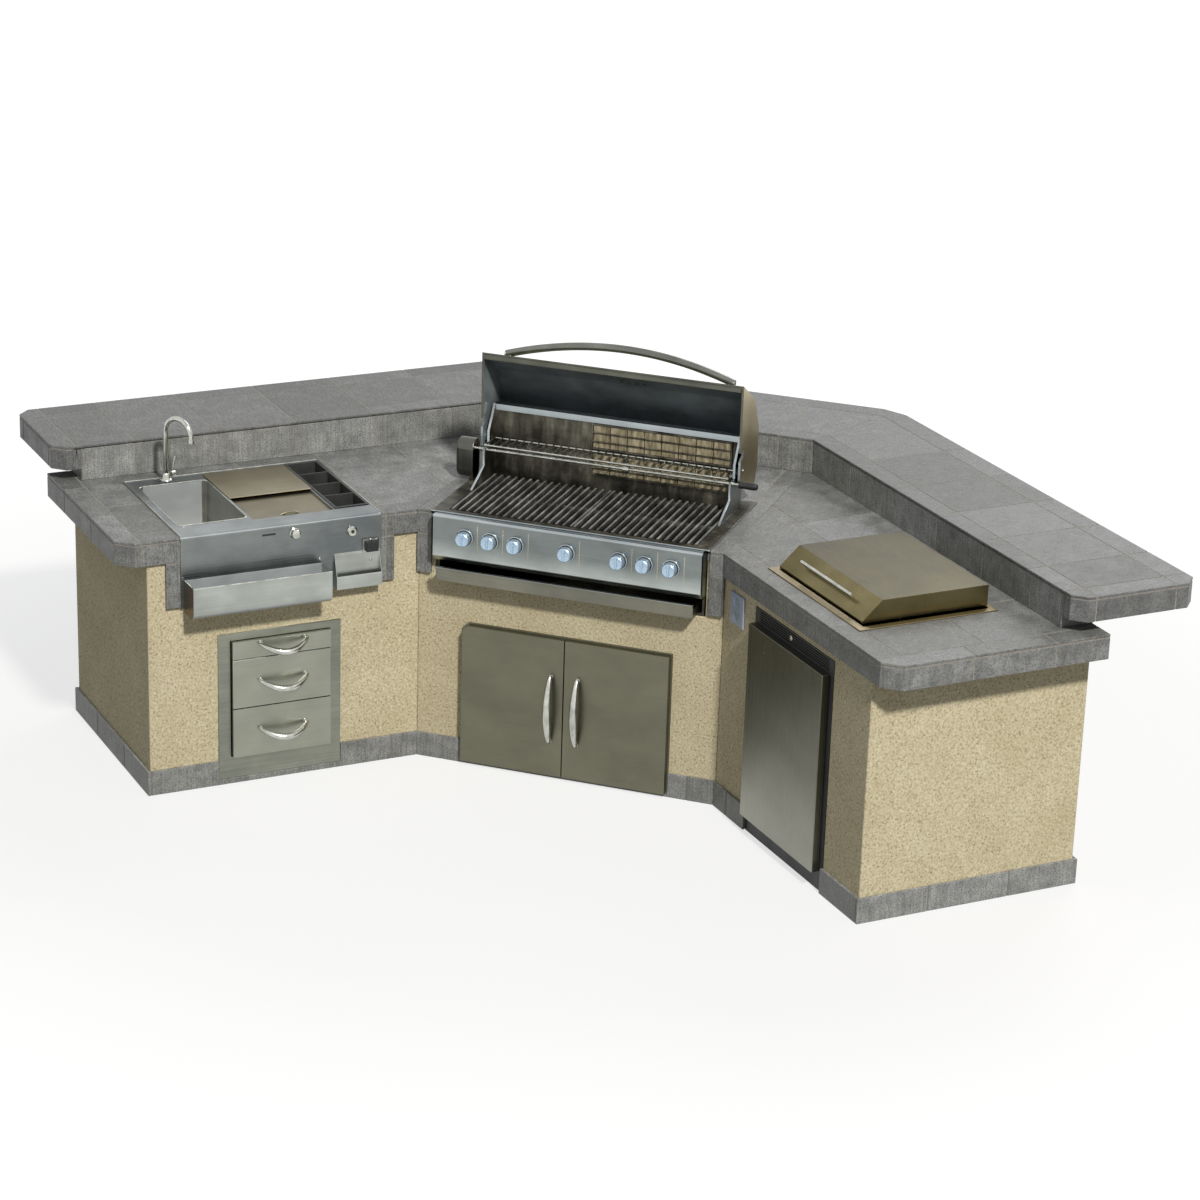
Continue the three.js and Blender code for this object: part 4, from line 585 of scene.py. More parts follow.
footLook = {
    "joints": [-far, -0.2, 0.1, 0.4, 0.7], "ends": {"left": 0.9755, "right": 0.9895},
    "rows": [-far, 0.4, far], "middleRows": [-far, 0.5, far], "endJoints": [-far, 0.25, 0.55, far],
}


def cutAway(bm, place, normal):
    # drops what lies on the normal's side of the plane and closes the cut
    bmesh.ops.bisect_plane(bm, geom=bm.verts[:] + bm.edges[:] + bm.faces[:], dist=1e-6,
                           plane_co=place, plane_no=normal, clear_outer=True)
    rims = [e for e in bm.edges if e.is_boundary]
    if rims:
        bmesh.ops.holes_fill(bm, edges=rims, sides=0)


def cutCell(bm, low, high):
    half = tileLook["joint"] / 2
    for axis in range(3):
        for limit, side in ((low[axis], -1), (high[axis], 1)):
            if abs(limit) < far:
                place, normal = Vector((0, 0, 0)), Vector((0, 0, 0))
                place[axis], normal[axis] = limit - side * half, side
                cutAway(bm, place, normal)
    joinFlats(bm)


def joinTiles(tiles):
    # all tiles of a node in one mesh, each with its own tone
    whole = bmesh.new()
    tone = whole.faces.layers.float.new("tileTone")
    scratch = bpy.data.meshes.new("tile")
    for bm in tiles:
        if bm.faces:
            soften(bm, tileLook["edge"], 2)
            bm.to_mesh(scratch)
            before = len(whole.faces)
            whole.from_mesh(scratch)
            whole.faces.ensure_lookup_table()
            tileTone = dice.random()
            for face in whole.faces[before:]:
                face[tone] = tileTone
        bm.free()
    bpy.data.meshes.remove(scratch)
    return whole


def cutTiles(node, wing, cells):
    source = cadCopy(node)
    toWing(source, wing)
    for low, high in cells:
        bm = source.copy()
        cutCell(bm, low, high)
        yield bm
    source.free()


def groutCore(node):
    bm = cadCopy(node)
    bm.normal_update()
    for vert in bm.verts:
        vert.co -= vert.normal * tileLook["sunk"] * vert.calc_shell_factor()
    return bm


def gridCells(xs, ys, zs=(-far, far)):
    return [((x0, y0, z0), (x1, y1, z1)) for x0, x1 in zip(xs, xs[1:]) for y0, y1 in zip(ys, ys[1:])
            for z0, z1 in zip(zs, zs[1:])]


def mirrored(wing, values):
    return sorted(-v if wing == "left" else v for v in values)


def makeTiles(node, name, wing, cells, finish):
    bm = joinTiles(cutTiles(node, wing, cells))
    piece(bm, name + "Tiles", wing + finish, wing, node)
    piece(groutCore(node), name + "Grout", "cementGrout")


def counterCells(xs, rows):
    # the edge band, the drop tiles under it and the field behind
    look = counterLook
    band = [-far, look["trim"]]
    return (gridCells(xs, band, [look["under"], look["sheet"], far])
            + gridCells(xs, band, [-far, look["under"]]) + gridCells(xs, rows))


def makeCounters():
    look = counterLook
    for wing, end in look["ends"].items():
        cells = counterCells(mirrored(wing, look["joints"] + [end]), look["rows"])
        cells += gridCells(mirrored(wing, [end, far]), look["endJoints"], [-far, look["sheet"], far])
        makeTiles(wing + "_counter", wing + "Counter", wing, cells, "Tile")
    cells = counterCells(look["middleJoints"], look["middleRows"])
    makeTiles("middle_counter", "middleCounter", "middle", cells, "Tile")


def makeBarTops():
    look = barLook
    for wing in ("left", "right"):
        xs = look[wing]
        cells = gridCells(mirrored(wing, xs), look["rows"], look["levels"])
        cells += gridCells(mirrored(wing, [xs[-1], far]), look["rows"], look["levels"])
        makeTiles(wing + "_bar_top", wing + "Bar", wing, cells, "Bar")
    cells = gridCells(middleJoints, look["middleRows"], look["levels"])
    makeTiles("middle_bar_top", "middleBar", "middle", cells, "Bar")


def makeRisers():
    for wing in ("left", "right", "middle"):
        rows = [-far, far] if wing == "middle" else riserLook["rows"]
        cells = gridCells(mirrored(wing, riserLook[wing]), rows)
        makeTiles(wing + "_riser_tiles", wing + "Riser", wing, cells, "Riser")


def cutFootTiles():
    # the ring is one node: each wing's tiles are cut in its frame, up to the seams between wings
    look = footLook
    source = cadCopy("plinth_tiles")
    ahead = Vector((1, 0, 0))
    for wing in ("middle", "left", "right"):
        if wing == "middle":
            cells = gridCells(middleJoints, look["middleRows"])
        else:
            end = look["ends"][wing]
            cells = gridCells(mirrored(wing, look["joints"] + [end]), look["rows"])
            cells += gridCells(mirrored(wing, [end, far]), look["endJoints"])
        for low, high in cells:
            bm = source.copy()
            for edge in ("left", "right") if wing == "middle" else (wing,):
                outward = sides[edge] * (ahead + places[edge].to_3x3() @ ahead).normalized()
                cutAway(bm, places[edge].translation, outward if wing == "middle" else -outward)
            toWing(bm, wing)
            cutCell(bm, low, high)
            bmesh.ops.transform(bm, matrix=places[wing], verts=bm.verts)
            yield bm
    source.free()


def makePlinth():
    # the plinth wears the riser tiles' lighter copy: painted light
    piece(joinTiles(cutFootTiles()), "footTiles", "middleRiser", None, "plinth_tiles")
    piece(groutCore("plinth_tiles"), "footGrout", "footGrout")


makeCamera()
makeLamps()
makeWalls()
makeCounters()
makeBarTops()
makeRisers()
makePlinth()
print("masonry and tiles made")


# Built-in grill

grill = {
    "openHalf": 0.446, "knobs": [-0.364, -0.272, -0.18, 0.0039, 0.19, 0.281, 0.3751], "knobZ": 0.846,
    "pivot": (0, 0.41, 1.064), "open": math.radians(110), "spitY": 0.358, "spitZ": 1.03,
}
hoodPlace = (places["middle"] @ Matrix.Translation(grill["pivot"])
             @ Matrix.Rotation(-grill["open"], 4, "X"))
hoodLook = {
    "edge": 0.0016, "skin": 0.0012, "sideRim": 0.466,
    "hemLow": (-0.4665, -0.2735, -0.1388), "hemHigh": (0.4665, -0.2565, -0.1362),
    "nuts": 4, "nutX": 0.004, "nutStep": 0.028, "nutZ": -0.02, "seatY": -0.2555, "nutY": -0.2535,
    "tipY": -0.2435, "nut": 0.0055, "washer": 0.0085,
}
hoodGrip = {
    "half": 0.415, "z": -0.057, "endY": -0.2889, "faceY": -0.2649, "bow": 0.0672, "radius": 0.0138,
    "steps": 30, "postInset": 0.014, "post": 0.0105, "collar": 0.0165, "collarDepth": 0.0065,
    "cap": 0.0142,
}


def makeHood():
    # outside faces lie on the shell's convex outline, inside faces do not
    look = hoodLook
    bm = cadCopy("grill_hood")
    soften(bm, look["edge"], 2, 0.03)
    shape = bmesh.new()
    for vert in bm.verts:
        shape.verts.new(vert.co)
    bmesh.ops.convex_hull(shape, input=shape.verts)
    hull = BVHTree.FromBMesh(shape)
    shape.free()
    rimNormal = Matrix.Rotation(-grill["open"], 3, "X") @ Vector((0, 0, -1))

    def choose(centre, normal):
        if hull.find_nearest(centre)[3] > look["skin"]:
            return "smokedEnamel"
        if normal.dot(rimNormal) > along:
            # the rim's side ends get the lighter edge steel: painted highlight
            return "panelEdge" if abs(centre.x) > look["sideRim"] else "rimSteel"
        # the cheeks get the warmer, lighter copy of the hood steel: painted reflection of the stucco
        return "cheekReflectionSteel" if abs(normal.x) > along else "hoodSteel"
    piece(bm, "hoodShell", choose, None, "grill_hood", "hood")


def makeHoodHandle():
    look = hoodGrip
    half, z, endY, faceY = look["half"], look["z"], look["endY"], look["faceY"]
    bm = bmesh.new()
    shares = [i / look["steps"] - 1 for i in range(2 * look["steps"] + 1)]
    pipe(bm, [(half * s, endY - look["bow"] * (1 - s * s), z) for s in shares], look["radius"], 12)
    for end in (-1, 1):
        x = end * (half - look["postInset"])
        rod(bm, (x, endY - 0.004, z), (x, faceY - 0.0006, z), look["post"], 20)
        rod(bm, (x, faceY - look["collarDepth"], z), (x, faceY - 0.0008, z), look["collar"], 24,
            bevel=0.0015)
        rod(bm, (end * (half - 0.002), endY + 0.0005, z), (end * (half + 0.0035), endY + 0.001, z),
            look["cap"], 24, bevel=0.0025)
    piece(bm, "hoodHandle", "gripSteel", hoodPlace, "hood_handle", "hood")


def makeHoodHem():
    # the lip's turned-in flange, seen along the open hood's upper edge
    bm = bmesh.new()
    block(bm, hoodLook["hemLow"], hoodLook["hemHigh"], 0.0008, 1)
    piece(bm, "hoodHem", "rimSteel", hoodPlace, body="hood")


def makeHoodNuts():
    # the grip's four dome nuts with their washers, inside the hood at its middle
    look = hoodLook
    bm = bmesh.new()
    for i in range(look["nuts"]):
        x, z = look["nutX"] + look["nutStep"] * i, look["nutZ"]
        rod(bm, (x, look["nutY"], z), (x, look["tipY"], z), look["nut"], 6, bevel=0.0012)
        rod(bm, (x, look["seatY"], z), (x, look["nutY"], z), look["washer"], 20, bevel=0.0005)
    piece(bm, "hoodNuts", "blackPlastic", hoodPlace, body="hood")


# housing: heights of the box's rim, the walls above the grates and the fixed back's hem
housingLook = {
    "edge": 0.0012, "rim": 0.9135, "rimX": 0.44, "wall": 0.93, "wallX": 0.45, "ledge": 0.915,
    "ledgeDepth": 0.02, "backTop": 1.165, "backDepth": 0.43,
    "hemLow": (-0.446, 0.4368, 1.153), "hemHigh": (0.446, 0.4394, 1.1745),
}


def makeHousing():
    look = housingLook
    front = plan["frontY"]

    def choose(centre, normal):
        x, y, z = abs(centre.x), centre.y - front, centre.z
        # upward rim faces, the back's top and the front-facing wall faces get the lighter edge steel,
        # a painted highlight; the walls' other faces get the darker panel steel
        if z > look["backTop"] or (z > look["rim"] and normal.z > 0.5 and x > look["rimX"]):
            return "panelEdge"
        if z > look["wall"] and normal.y < -0.5 and y < look["backDepth"]:
            return "panelEdge"
        if z > look["wall"] and (normal.y > along or x > look["wallX"]):
            return "panelSteel"
        return "panelEdge" if z > look["ledge"] and y < look["ledgeDepth"] else "smokedSteel"
    cadPiece("grill_housing", "grillBody", choose, (look["edge"], 2, 0.12))
    # turned-over upper edge of the fixed back, seen under the open hood
    bm = bmesh.new()
    block(bm, look["hemLow"], look["hemHigh"], 0.0012, 2)
    piece(bm, "backHem", "panelEdge", "middle")


backBurner = {
    "x0": -0.08, "x1": 0.42, "y": 0.44, "rows": [(0.972, 1.042), (1.066, 1.146)], "plaques": 8,
    "gap": 0.0015, "frame": 0.006, "frameDepth": 0.009, "wire": 0.0022, "wireShares": (0.3, 0.7),
}


def makeBackBurner():
    # two rows of ceramic plaques in steel frames behind the spit, with guard wires
    look = backBurner
    x0, x1, y, gap, frame = look["x0"], look["x1"], look["y"], look["gap"], look["frame"]
    step = (x1 - x0) / look["plaques"]
    plaques, guard = bmesh.new(), bmesh.new()

    def bar(low, high):
        block(guard, (low[0], y - look["frameDepth"], low[1]), (high[0], y - 0.0006, high[1]),
              0.001, 1)
    for z0, z1 in look["rows"]:
        for i in range(look["plaques"]):
            x = x0 + i * step
            block(plaques, (x + gap, y - 0.007, z0), (x + step - gap, y - 0.001, z1), 0.0015, 1)
        bar((x0 - frame, z0 - frame), (x1 + frame, z0 - 0.0005))
        bar((x0 - frame, z1 + 0.0005), (x1 + frame, z1 + frame))
        bar((x0 - frame, z0), (x0 - 0.0005, z1))
        bar((x1 + 0.0005, z0), (x1 + frame, z1))
        for share in look["wireShares"]:
            z = z0 + share * (z1 - z0)
            rod(guard, (x0 - 0.003, y - 0.0105, z), (x1 + 0.003, y - 0.0105, z), look["wire"], 10)
    piece(plaques, "burnerPlaques", "burnerCeramic", "middle")
    piece(guard, "burnerGuard", "smokedSteel", "middle")


panelLook = {
    "half": 0.484, "front": -0.045, "back": 0.0025, "top": 0.914, "bottom": 0.745, "tuck": 0.02,
    "roll": 0.009, "sheet": 0.004, "cheek": 0.003, "brow": 0.906,
    "lineWidth": 0.0032, "lineRight": 0.046, "lineTop": 0.894, "lineFoot": 0.801,
    "bezel": [(0, -0.001), (0.031, -0.001), (0.0315, 0.0015), (0.0305, 0.0045), (0.028, 0.0058),
              (0.0265, 0.0045), (0.0255, 0.003), (0, 0.003)],
}


def makePanel():
    look = panelLook
    half, front, back, top, foot = (look[k] for k in ("half", "front", "back", "top", "bottom"))
    r, sheet, tuck = look["roll"], look["sheet"], look["tuck"]
    arc = [math.radians(90 + 90 * i / 8) for i in range(9)]
    outer = [(back, top)] + [(front + r + r * math.cos(a), top - r + r * math.sin(a)) for a in arc]
    outer += [(front, foot + tuck + 0.004), (front + 0.0012, foot + tuck),
              (front + tuck - 0.001, foot + 0.0016), (front + tuck + 0.003, foot), (back, foot)]
    inner = [(back, foot + sheet), (front + tuck + sheet / 2, foot + sheet),
             (front + sheet, foot + tuck + sheet / 2), (front + sheet, top - sheet - r),
             (front + sheet + r, top - sheet), (back, top - sheet)]
    bm = bmesh.new()
    extrudeX(bm, outer + inner, -half, half)
    for end in (-1, 1):
        extrudeX(bm, outer, end * half, end * (half - look["cheek"]))
    bmesh.ops.recalc_face_normals(bm, faces=bm.faces)

    def choose(centre, normal):
        # the rolled brow's upward faces get the lighter edge steel: painted highlight
        return "panelEdge" if centre.z > look["brow"] and normal.z > 0.25 else "panelSteel"
    piece(bm, "controlPanel", choose, "middle", "control_panel")
    bezels, lines = bmesh.new(), bmesh.new()
    for x in grill["knobs"]:
        turned(bezels, look["bezel"], shifted(x, front, grill["knobZ"]) @ facing, 40)
        low, high = (x + look["lineRight"] + end * look["lineWidth"] / 2 for end in (-1, 1))
        block(lines, (low, front - 0.0006, look["lineFoot"]), (high, front + 0.001, look["lineTop"]),
              0.0003, 1)
    piece(bezels, "knobBezels", "panelEdge", "middle")
    piece(lines, "panelLines", "lineSteel", "middle")


knobLook = {
    "profile": [(0, 0), (0.0262, 0), (0.0268, 0.001), (0.0268, 0.0035), (0.0252, 0.0048),
                (0.0258, 0.0062), (0.0248, 0.02), (0.0238, 0.0245), (0.0215, 0.0268),
                (0.0185, 0.0265), (0.017, 0.0258), (0, 0.0254)],
    "seatY": -0.0513, "skirtRadius": 0.0243, "skirtHeight": 0.005,
    "beakLow": (-0.0034, -0.021, 0.022), "beakHigh": (0.0034, 0.021, 0.0305),
}


def makeKnobs():
    look = knobLook

    def choose(centre, normal):
        outer = math.hypot(centre.x, centre.y) > look["skirtRadius"]
        return "blackPlastic" if outer and centre.z < look["skirtHeight"] else "satinKnob"
    for i, x in enumerate(grill["knobs"], 1):
        bm = bmesh.new()
        turned(bm, look["profile"], Matrix.Identity(4), 48)
        block(bm, look["beakLow"], look["beakHigh"], 0.0016, 3)
        seat = places["middle"] @ shifted(x, look["seatY"], grill["knobZ"]) @ facing
        node = f"burner_knob_{i}"
        piece(bm, f"knob{i}", choose, seat, node, node)


# heights above which the grates' bars' upward faces and the tray's upward lip are painted lighter: on
# the grates worn tops and painted highlight, on the tray a painted highlight
brightLook = {"grate": 0.917, "grateSlope": 0.8, "tray": 0.731, "traySlope": 0.3}


def makeGrates():
    def choose(centre, normal):
        # the bars' upward faces above this height get the lighter iron: worn tops and painted
        # highlight
        rubbed = normal.z > brightLook["grateSlope"] and centre.z > brightLook["grate"]
        return "wornSheenIron" if rubbed else "castIron"
    for side in ("left", "right"):
        cadPiece(side + "_cooking_grate", side + "Grate", choose, (0.0016, 2, 0.02))


rackLook = {
    "front": 0.338, "rear": 0.432, "z": 1.052, "ends": 0.4454, "rod": 0.0038, "wire": 0.0024,
    "wires": 33, "wireHalf": 0.44, "wireLift": 0.0034, "strap": 0.004,
}


def makeRack():
    look = rackLook
    front, rear, z, ends, strap = (look[k] for k in ("front", "rear", "z", "ends", "strap"))
    bm = bmesh.new()
    for y in (front, rear):
        rod(bm, (-ends, y, z), (ends, y, z), look["rod"], 14)
    high = z + look["wireLift"]
    for i in range(look["wires"]):
        x = look["wireHalf"] * (2 * i / (look["wires"] - 1) - 1)
        rod(bm, (x, front, high), (x, rear, high), look["wire"], 8)
    for end in (-1, 1):
        block(bm, (end * ends, front, z - strap), (end * (ends - strap), rear, z + strap), 0.001, 2)
    piece(bm, "warmingRack", "polishedSteel", "middle", "warming_rack")


spitLook = {
    "ends": (-0.508, 0.479), "rod": 0.0058, "bush": 0.0085, "bushX": 0.452, "bushHalf": 0.008,
    "collar": (0.06, 0.082), "collarRadius": 0.0115, "screwX": 0.071, "gripX": 0.478,
    "grip": [(0, 0), (0.0105, 0), (0.0125, 0.003), (0.0128, 0.008), (0.0115, 0.02), (0.0125, 0.04),
             (0.0128, 0.055), (0.0105, 0.064), (0.006, 0.0668), (0, 0.0672)],
    "thumb": [(0, 0), (0.008, 0), (0.009, 0.0015), (0.009, 0.007), (0.0075, 0.009), (0, 0.0092)],
}


def makeSpit():
    look = spitLook
    y, z = grill["spitY"], grill["spitZ"]
    bushX, bushHalf, screwX = look["bushX"], look["bushHalf"], look["screwX"]
    bm = bmesh.new()
    for (x0, x1), radius, sides, bevel in (
            (look["ends"], look["rod"], 20, 0),
            ((-bushX - bushHalf, -bushX + bushHalf), look["bush"], 24, 0.001),
            ((bushX - bushHalf, bushX + bushHalf), look["bush"], 24, 0.001),
            (look["collar"], look["collarRadius"], 24, 0.0015)):
        rod(bm, (x0, y, z), (x1, y, z), radius, sides, bevel)
    rod(bm, (screwX, y, z + 0.01), (screwX, y, z + 0.026), 0.003, 12)
    piece(bm, "spitRod", "polishedSteel", "middle", "spit_rod", "spit")
    bm = bmesh.new()
    turned(bm, look["grip"], shifted(look["gripX"], y, z) @ lying, 32)
    turned(bm, look["thumb"], shifted(screwX, y, z + 0.024), 12)
    piece(bm, "spitGrip", "blackPlastic", "middle", body="spit")


# motor case: an upright round-ended outline in steps from the plate to the crowned cap, each given by
# how far out it lies and how far it is drawn in
motorLook = {
    "inner": -0.4833, "drop": 0.07, "radius": 0.036, "plate": 0.03, "plateDepth": 0.012,
    "foot": 0.9196,
    "steps": [(0.0005, 0.0014), (0.003, 0), (0.05, 0), (0.0585, 0.0016), (0.0626, 0.006),
              (0.0638, 0.0115)],
    "arcs": 16, "bossLow": 0.0636, "bossHigh": 0.0655, "boss": 0.0075,
}


def makeMotor():
    look = motorLook
    y, z, inner = grill["spitY"], grill["spitZ"], look["inner"]
    bm = bmesh.new()
    block(bm, (inner - look["plateDepth"], y - look["plate"], look["foot"]),
          (inner - 0.0005, y + look["plate"], z), 0.002, 2)
    loops = []
    for out, inset in look["steps"]:
        r = look["radius"] - inset
        loops.append([])
        for centreZ, start in ((z, 0), (z - look["drop"], 180)):
            for i in range(look["arcs"] + 1):
                a = math.radians(start + 180 * i / look["arcs"])
                place = (inner - out, y + r * math.cos(a), centreZ + r * math.sin(a))
                loops[-1].append(bm.verts.new(place))
    for low, high in zip(loops, loops[1:]):
        for a, b, c, d in zip(low, low[1:] + low[:1], high[1:] + high[:1], high):
            bm.faces.new((a, b, c, d))
    bm.faces.new(loops[0])
    bm.faces.new(loops[-1])
    rod(bm, (inner - look["bossLow"], y, z), (inner - look["bossHigh"], y, z), look["boss"], 24,
        bevel=0.0008)
    piece(bm, "spitMotor", "motorSteel", "middle", "rotisserie_motor")


def makeTray():
    def choose(centre, normal):
        # the lip's upward faces get the lighter edge steel: painted highlight
        lip = normal.z > brightLook["traySlope"] and centre.z > brightLook["tray"]
        return "panelEdge" if lip else "traySteel"
    cadPiece("grease_tray", "dripTray", choose, (0.0018, 3, 0.008), "grease_tray")


# Doors and drawers, each with a bowed bar that is thin at its ends

doorLook = {
    "handleX": {"left": -0.045, "right": 0.052}, "ends": (0.138, 0.391), "face": -0.0286, "bow": 0.03,
    "radius": 0.0078, "sag": 0, "upright": True, "thin": 0.5, "thick": 1.9,
}
drawerLook = {
    "handleZ": {"lower": 0.199, "middle": 0.376, "upper": 0.51}, "ends": (-0.594, -0.419),
    "face": -0.0246, "bow": 0.045, "radius": 0.0068, "sag": 0.026, "upright": False, "thin": 0.5,
    "thick": 1.8,
}
handleFeet = {"steps": 24, "post": 0.0055, "postReach": 0.006, "collar": 0.0085, "collarTop": 0.0026}


def bowedBar(look, across):
    bm = bmesh.new()
    feet = handleFeet
    low, high = look["ends"]
    middle, half = (low + high) / 2, (high - low) / 2
    face, radius = look["face"], look["radius"]

    def spot(length, out, fall=0.0):
        if look["upright"]:
            return across, out, length
        return length, out, across - look["sag"] * fall
    points, radii = [], []
    for i in range(2 * feet["steps"] + 1):
        share = i / feet["steps"] - 1
        fall = max(1 - share * share, 0)
        points.append(spot(middle + half * share, face - radius - look["bow"] * fall, fall))
        radii.append(look["thin"] + (look["thick"] - look["thin"]) * math.sqrt(fall))
    pipe(bm, points, radius, 12, radii)
    for length in (low + radius, high - radius):
        foot = spot(length, face - 0.0004)
        rod(bm, foot, spot(length, face - radius - feet["postReach"]), feet["post"], 20)
        rod(bm, foot, spot(length, face - feet["collarTop"]), feet["collar"], 24, bevel=0.0007)
    return bm


def makeDoors():
    cadPiece("access_door_frame", "doorFrame", "doorSteel", (0.0012, 2))
    for side, x in doorLook["handleX"].items():
        cadPiece(side + "_access_door", side + "Door", "doorSteel", (0.0016, 3), side + "_door")
        piece(bowedBar(doorLook, x), side + "DoorHandle", "polishedSteel", "middle",
              side + "_door_handle", side + "_door")


def makeDrawers():
    cadPiece("drawer_frame", "drawerFrame", "frameSteel", (0.0014, 2, 0.05))
    for level, z in drawerLook["handleZ"].items():
        body = level + "_drawer"
        cadPiece(body, level + "Drawer", "drawerSteel", (0.0016, 3, 0.02), body)
        piece(bowedBar(drawerLook, z), level + "DrawerHandle", "polishedSteel", "left",
              body + "_handle", body)


# Beverage centre: u counts leftwards along the wing's front, t back from it

deckLook = {
    "top": 0.9183, "front": -0.016, "u0": 0.59, "u1": 0.831, "t0": 0.095, "t1": 0.515, "floor": 0.73,
    "corner": 0.02, "nose": 0.0105, "seam": 0.0012, "apron": 0.002, "bead": 0.0022,
    "beadLift": 0.0004,
    "rim": [(-0.1485, -0.002), (-0.1485, 0.5895), (-0.8605, 0.5895), (-0.8605, -0.002)],
    "basinRim": 0.004, "rimCorner": 0.024,
    "drain": (0.7105, 0.305), "holes": 16, "holeRings": (0.0105, 0.0155), "hole": 0.0014,
    "strainer": [(0, -0.004), (0.021, -0.004), (0.0235, 0.0005), (0.033, 0.0016), (0.036, 0.0008),
                 (0.036, 0.0002)],
    "strainerPin": [(0, 0.0045), (0.004, 0.0042), (0.005, -0.003)],
    "slot": (0.552, 0.889), "slotHalf": (0.024, 0.0035),
    "knob": (0.46, 0.884),
    "knobProfile": [(0, 0.0002), (0.0185, 0.0002), (0.0188, 0.003), (0.0165, 0.0045),
                    (0.0165, 0.016), (0.0148, 0.0192), (0.012, 0.0202), (0, 0.0205)],
    "lock": (0.254, 0.866), "plug": 0.0062, "keyHalf": (0.0022, 0.0058),
    "lockProfile": [(0, 0.0002), (0.0185, 0.0002), (0.0188, 0.005), (0.0155, 0.0102),
                    (0.0128, 0.0108), (0.0118, 0.0098), (0, 0.0098)],
}


def loopPoints(u0, u1, t0, t1, z, radius, steps=6):
    points = []
    for cu, ct, start in ((u1 - radius, t1 - radius, 0), (u0 + radius, t1 - radius, 90),
                          (u0 + radius, t0 + radius, 180), (u1 - radius, t0 + radius, 270)):
        for i in range(steps + 1):
            a = math.radians(start + 90 * i / steps)
            points.append((cu + radius * math.cos(a), ct + radius * math.sin(a), z))
    return points + points[:2]


def makeDeck():
    look = deckLook
    top, front = look["top"], look["front"]
    u0, u1, t0, t1 = (look[k] for k in ("u0", "u1", "t0", "t1"))
    back = places["left"].inverted()
    bm = cadCopy("beverage_deck", lambda place: (back @ place).y < front - 1e-4)
    toWing(bm, "left")

    def near(value, *targets):
        return any(abs(value - t) < 3e-4 for t in targets)

    def inBasin(c):
        return (near(-c.x, u0, u1) or near(c.y, t0, t1)) and (
            u0 - 1e-3 < -c.x < u1 + 1e-3 and t0 - 1e-3 < c.y < t1 + 1e-3)
    corners, nose = [], []
    for edge in sharpEdges(bm, 0.012):
        a, b = (v.co for v in edge.verts)
        if near(a.x, b.x) and near(a.y, b.y) and inBasin(a) and inBasin(b):
            corners.append(edge)
        elif all(near(c.y, front) and near(c.z, top) for c in (a, b)):
            nose.append(edge)
    bevelEdges(bm, corners, look["corner"], 5)
    bevelEdges(bm, [e for e in nose if e.is_valid], look["nose"], 7)
    seams = []
    for edge in sharpEdges(bm, 0.03, 50):
        first = edge.verts[0].co
        if not (top - 0.02 < first.z < top - 1e-4 and first.y < 0):
            seams.append(edge)
    bevelEdges(bm, seams, look["seam"], 2)

    def choose(centre, normal):
        if centre.y < look["apron"]:
            # the apron's end faces get a darker, brown copy of the steel: painted shade and painted
            # reflection
            if abs(normal.x) > along:
                return "endShadeAndReflectionSteel"
            # the apron's front face gets a darker copy of the deck steel: painted shade
            return "apronShadeSteel" if normal.y < -along else "deckSteel"
        if centre.z < top - 0.002:
            # sunk faces get lighter copies of the steel, so the basin and the trough do not go dark:
            # painted light
            return "troughLitSteel" if normal.y < -along and centre.x < -u0 else "basinLitSteel"
        return "deckSteel"
    piece(bm, "beverageDeck", choose, "left", "beverage_deck")
    bm = bmesh.new()
    z, rim = top + look["beadLift"], look["basinRim"]
    loop = loopPoints(-u1 - rim, -u0 + rim, t0 - rim, t1 + rim, z, look["rimCorner"])
    pipe(bm, loop, look["bead"], 6)
    pipe(bm, [(x, y, z) for x, y in look["rim"]], look["bead"], 6)
    piece(bm, "deckRims", "polishedSteel", "left")


def makeDeckFittings():
    look = deckLook
    front, floor = look["front"], look["floor"]
    du, dt = look["drain"]
    bm = bmesh.new()
    seat = shifted(-du, dt, floor)
    turned(bm, look["strainer"], seat, 40)
    turned(bm, look["strainerPin"], seat, 20)
    piece(bm, "sinkStrainer", "polishedSteel", "left")
    bm = bmesh.new()
    for i in range(look["holes"]):
        a, r = math.tau * i / look["holes"], look["holeRings"][i % 2]
        x, y = -du + r * math.cos(a), dt + r * math.sin(a)
        rod(bm, (x, y, floor - 0.005), (x, y, floor - 0.0034), look["hole"], 8)
    su, sz = look["slot"]
    wide, high = look["slotHalf"]
    block(bm, (-su - wide, front - 0.0006, sz - high), (-su + wide, front + 0.001, sz + high),
          0.0006, 2)
    piece(bm, "deckHoles", "blackPlastic", "left")
    bm = bmesh.new()
    ku, kz = look["knob"]
    lu, lz = look["lock"]
    turned(bm, look["knobProfile"], shifted(-ku, front, kz) @ facing, 40)
    turned(bm, look["lockProfile"], shifted(-lu, front, lz) @ facing, 40)
    piece(bm, "deckKnob", "polishedSteel", "left")
    bm = bmesh.new()
    rod(bm, (-lu, front - 0.0096, lz), (-lu, front - 0.0106, lz), look["plug"], 24)
    wide, high = look["keyHalf"]
    block(bm, (-lu - wide, front - 0.0114, lz - high), (-lu + wide, front - 0.01, lz + high),
          0.0004, 1)
    piece(bm, "lockKeyway", "blackPlastic", "left")


def makeIceLids():
    # the front lid wears the darker copy of the ice-lid steel: painted shade
    cadPiece("front_ice_lid", "frontIceLid", "frontIceShadeSteel", (0.0012, 2), "front_ice_lid")
    cadPiece("rear_ice_lid", "rearIceLid", "iceSteel", (0.0018, 3), "rear_ice_lid")
    cadPiece("condiment_caddy", "condimentCaddy", "insertPlastic", (0.0012, 2, 0.02),
             "condiment_caddy")


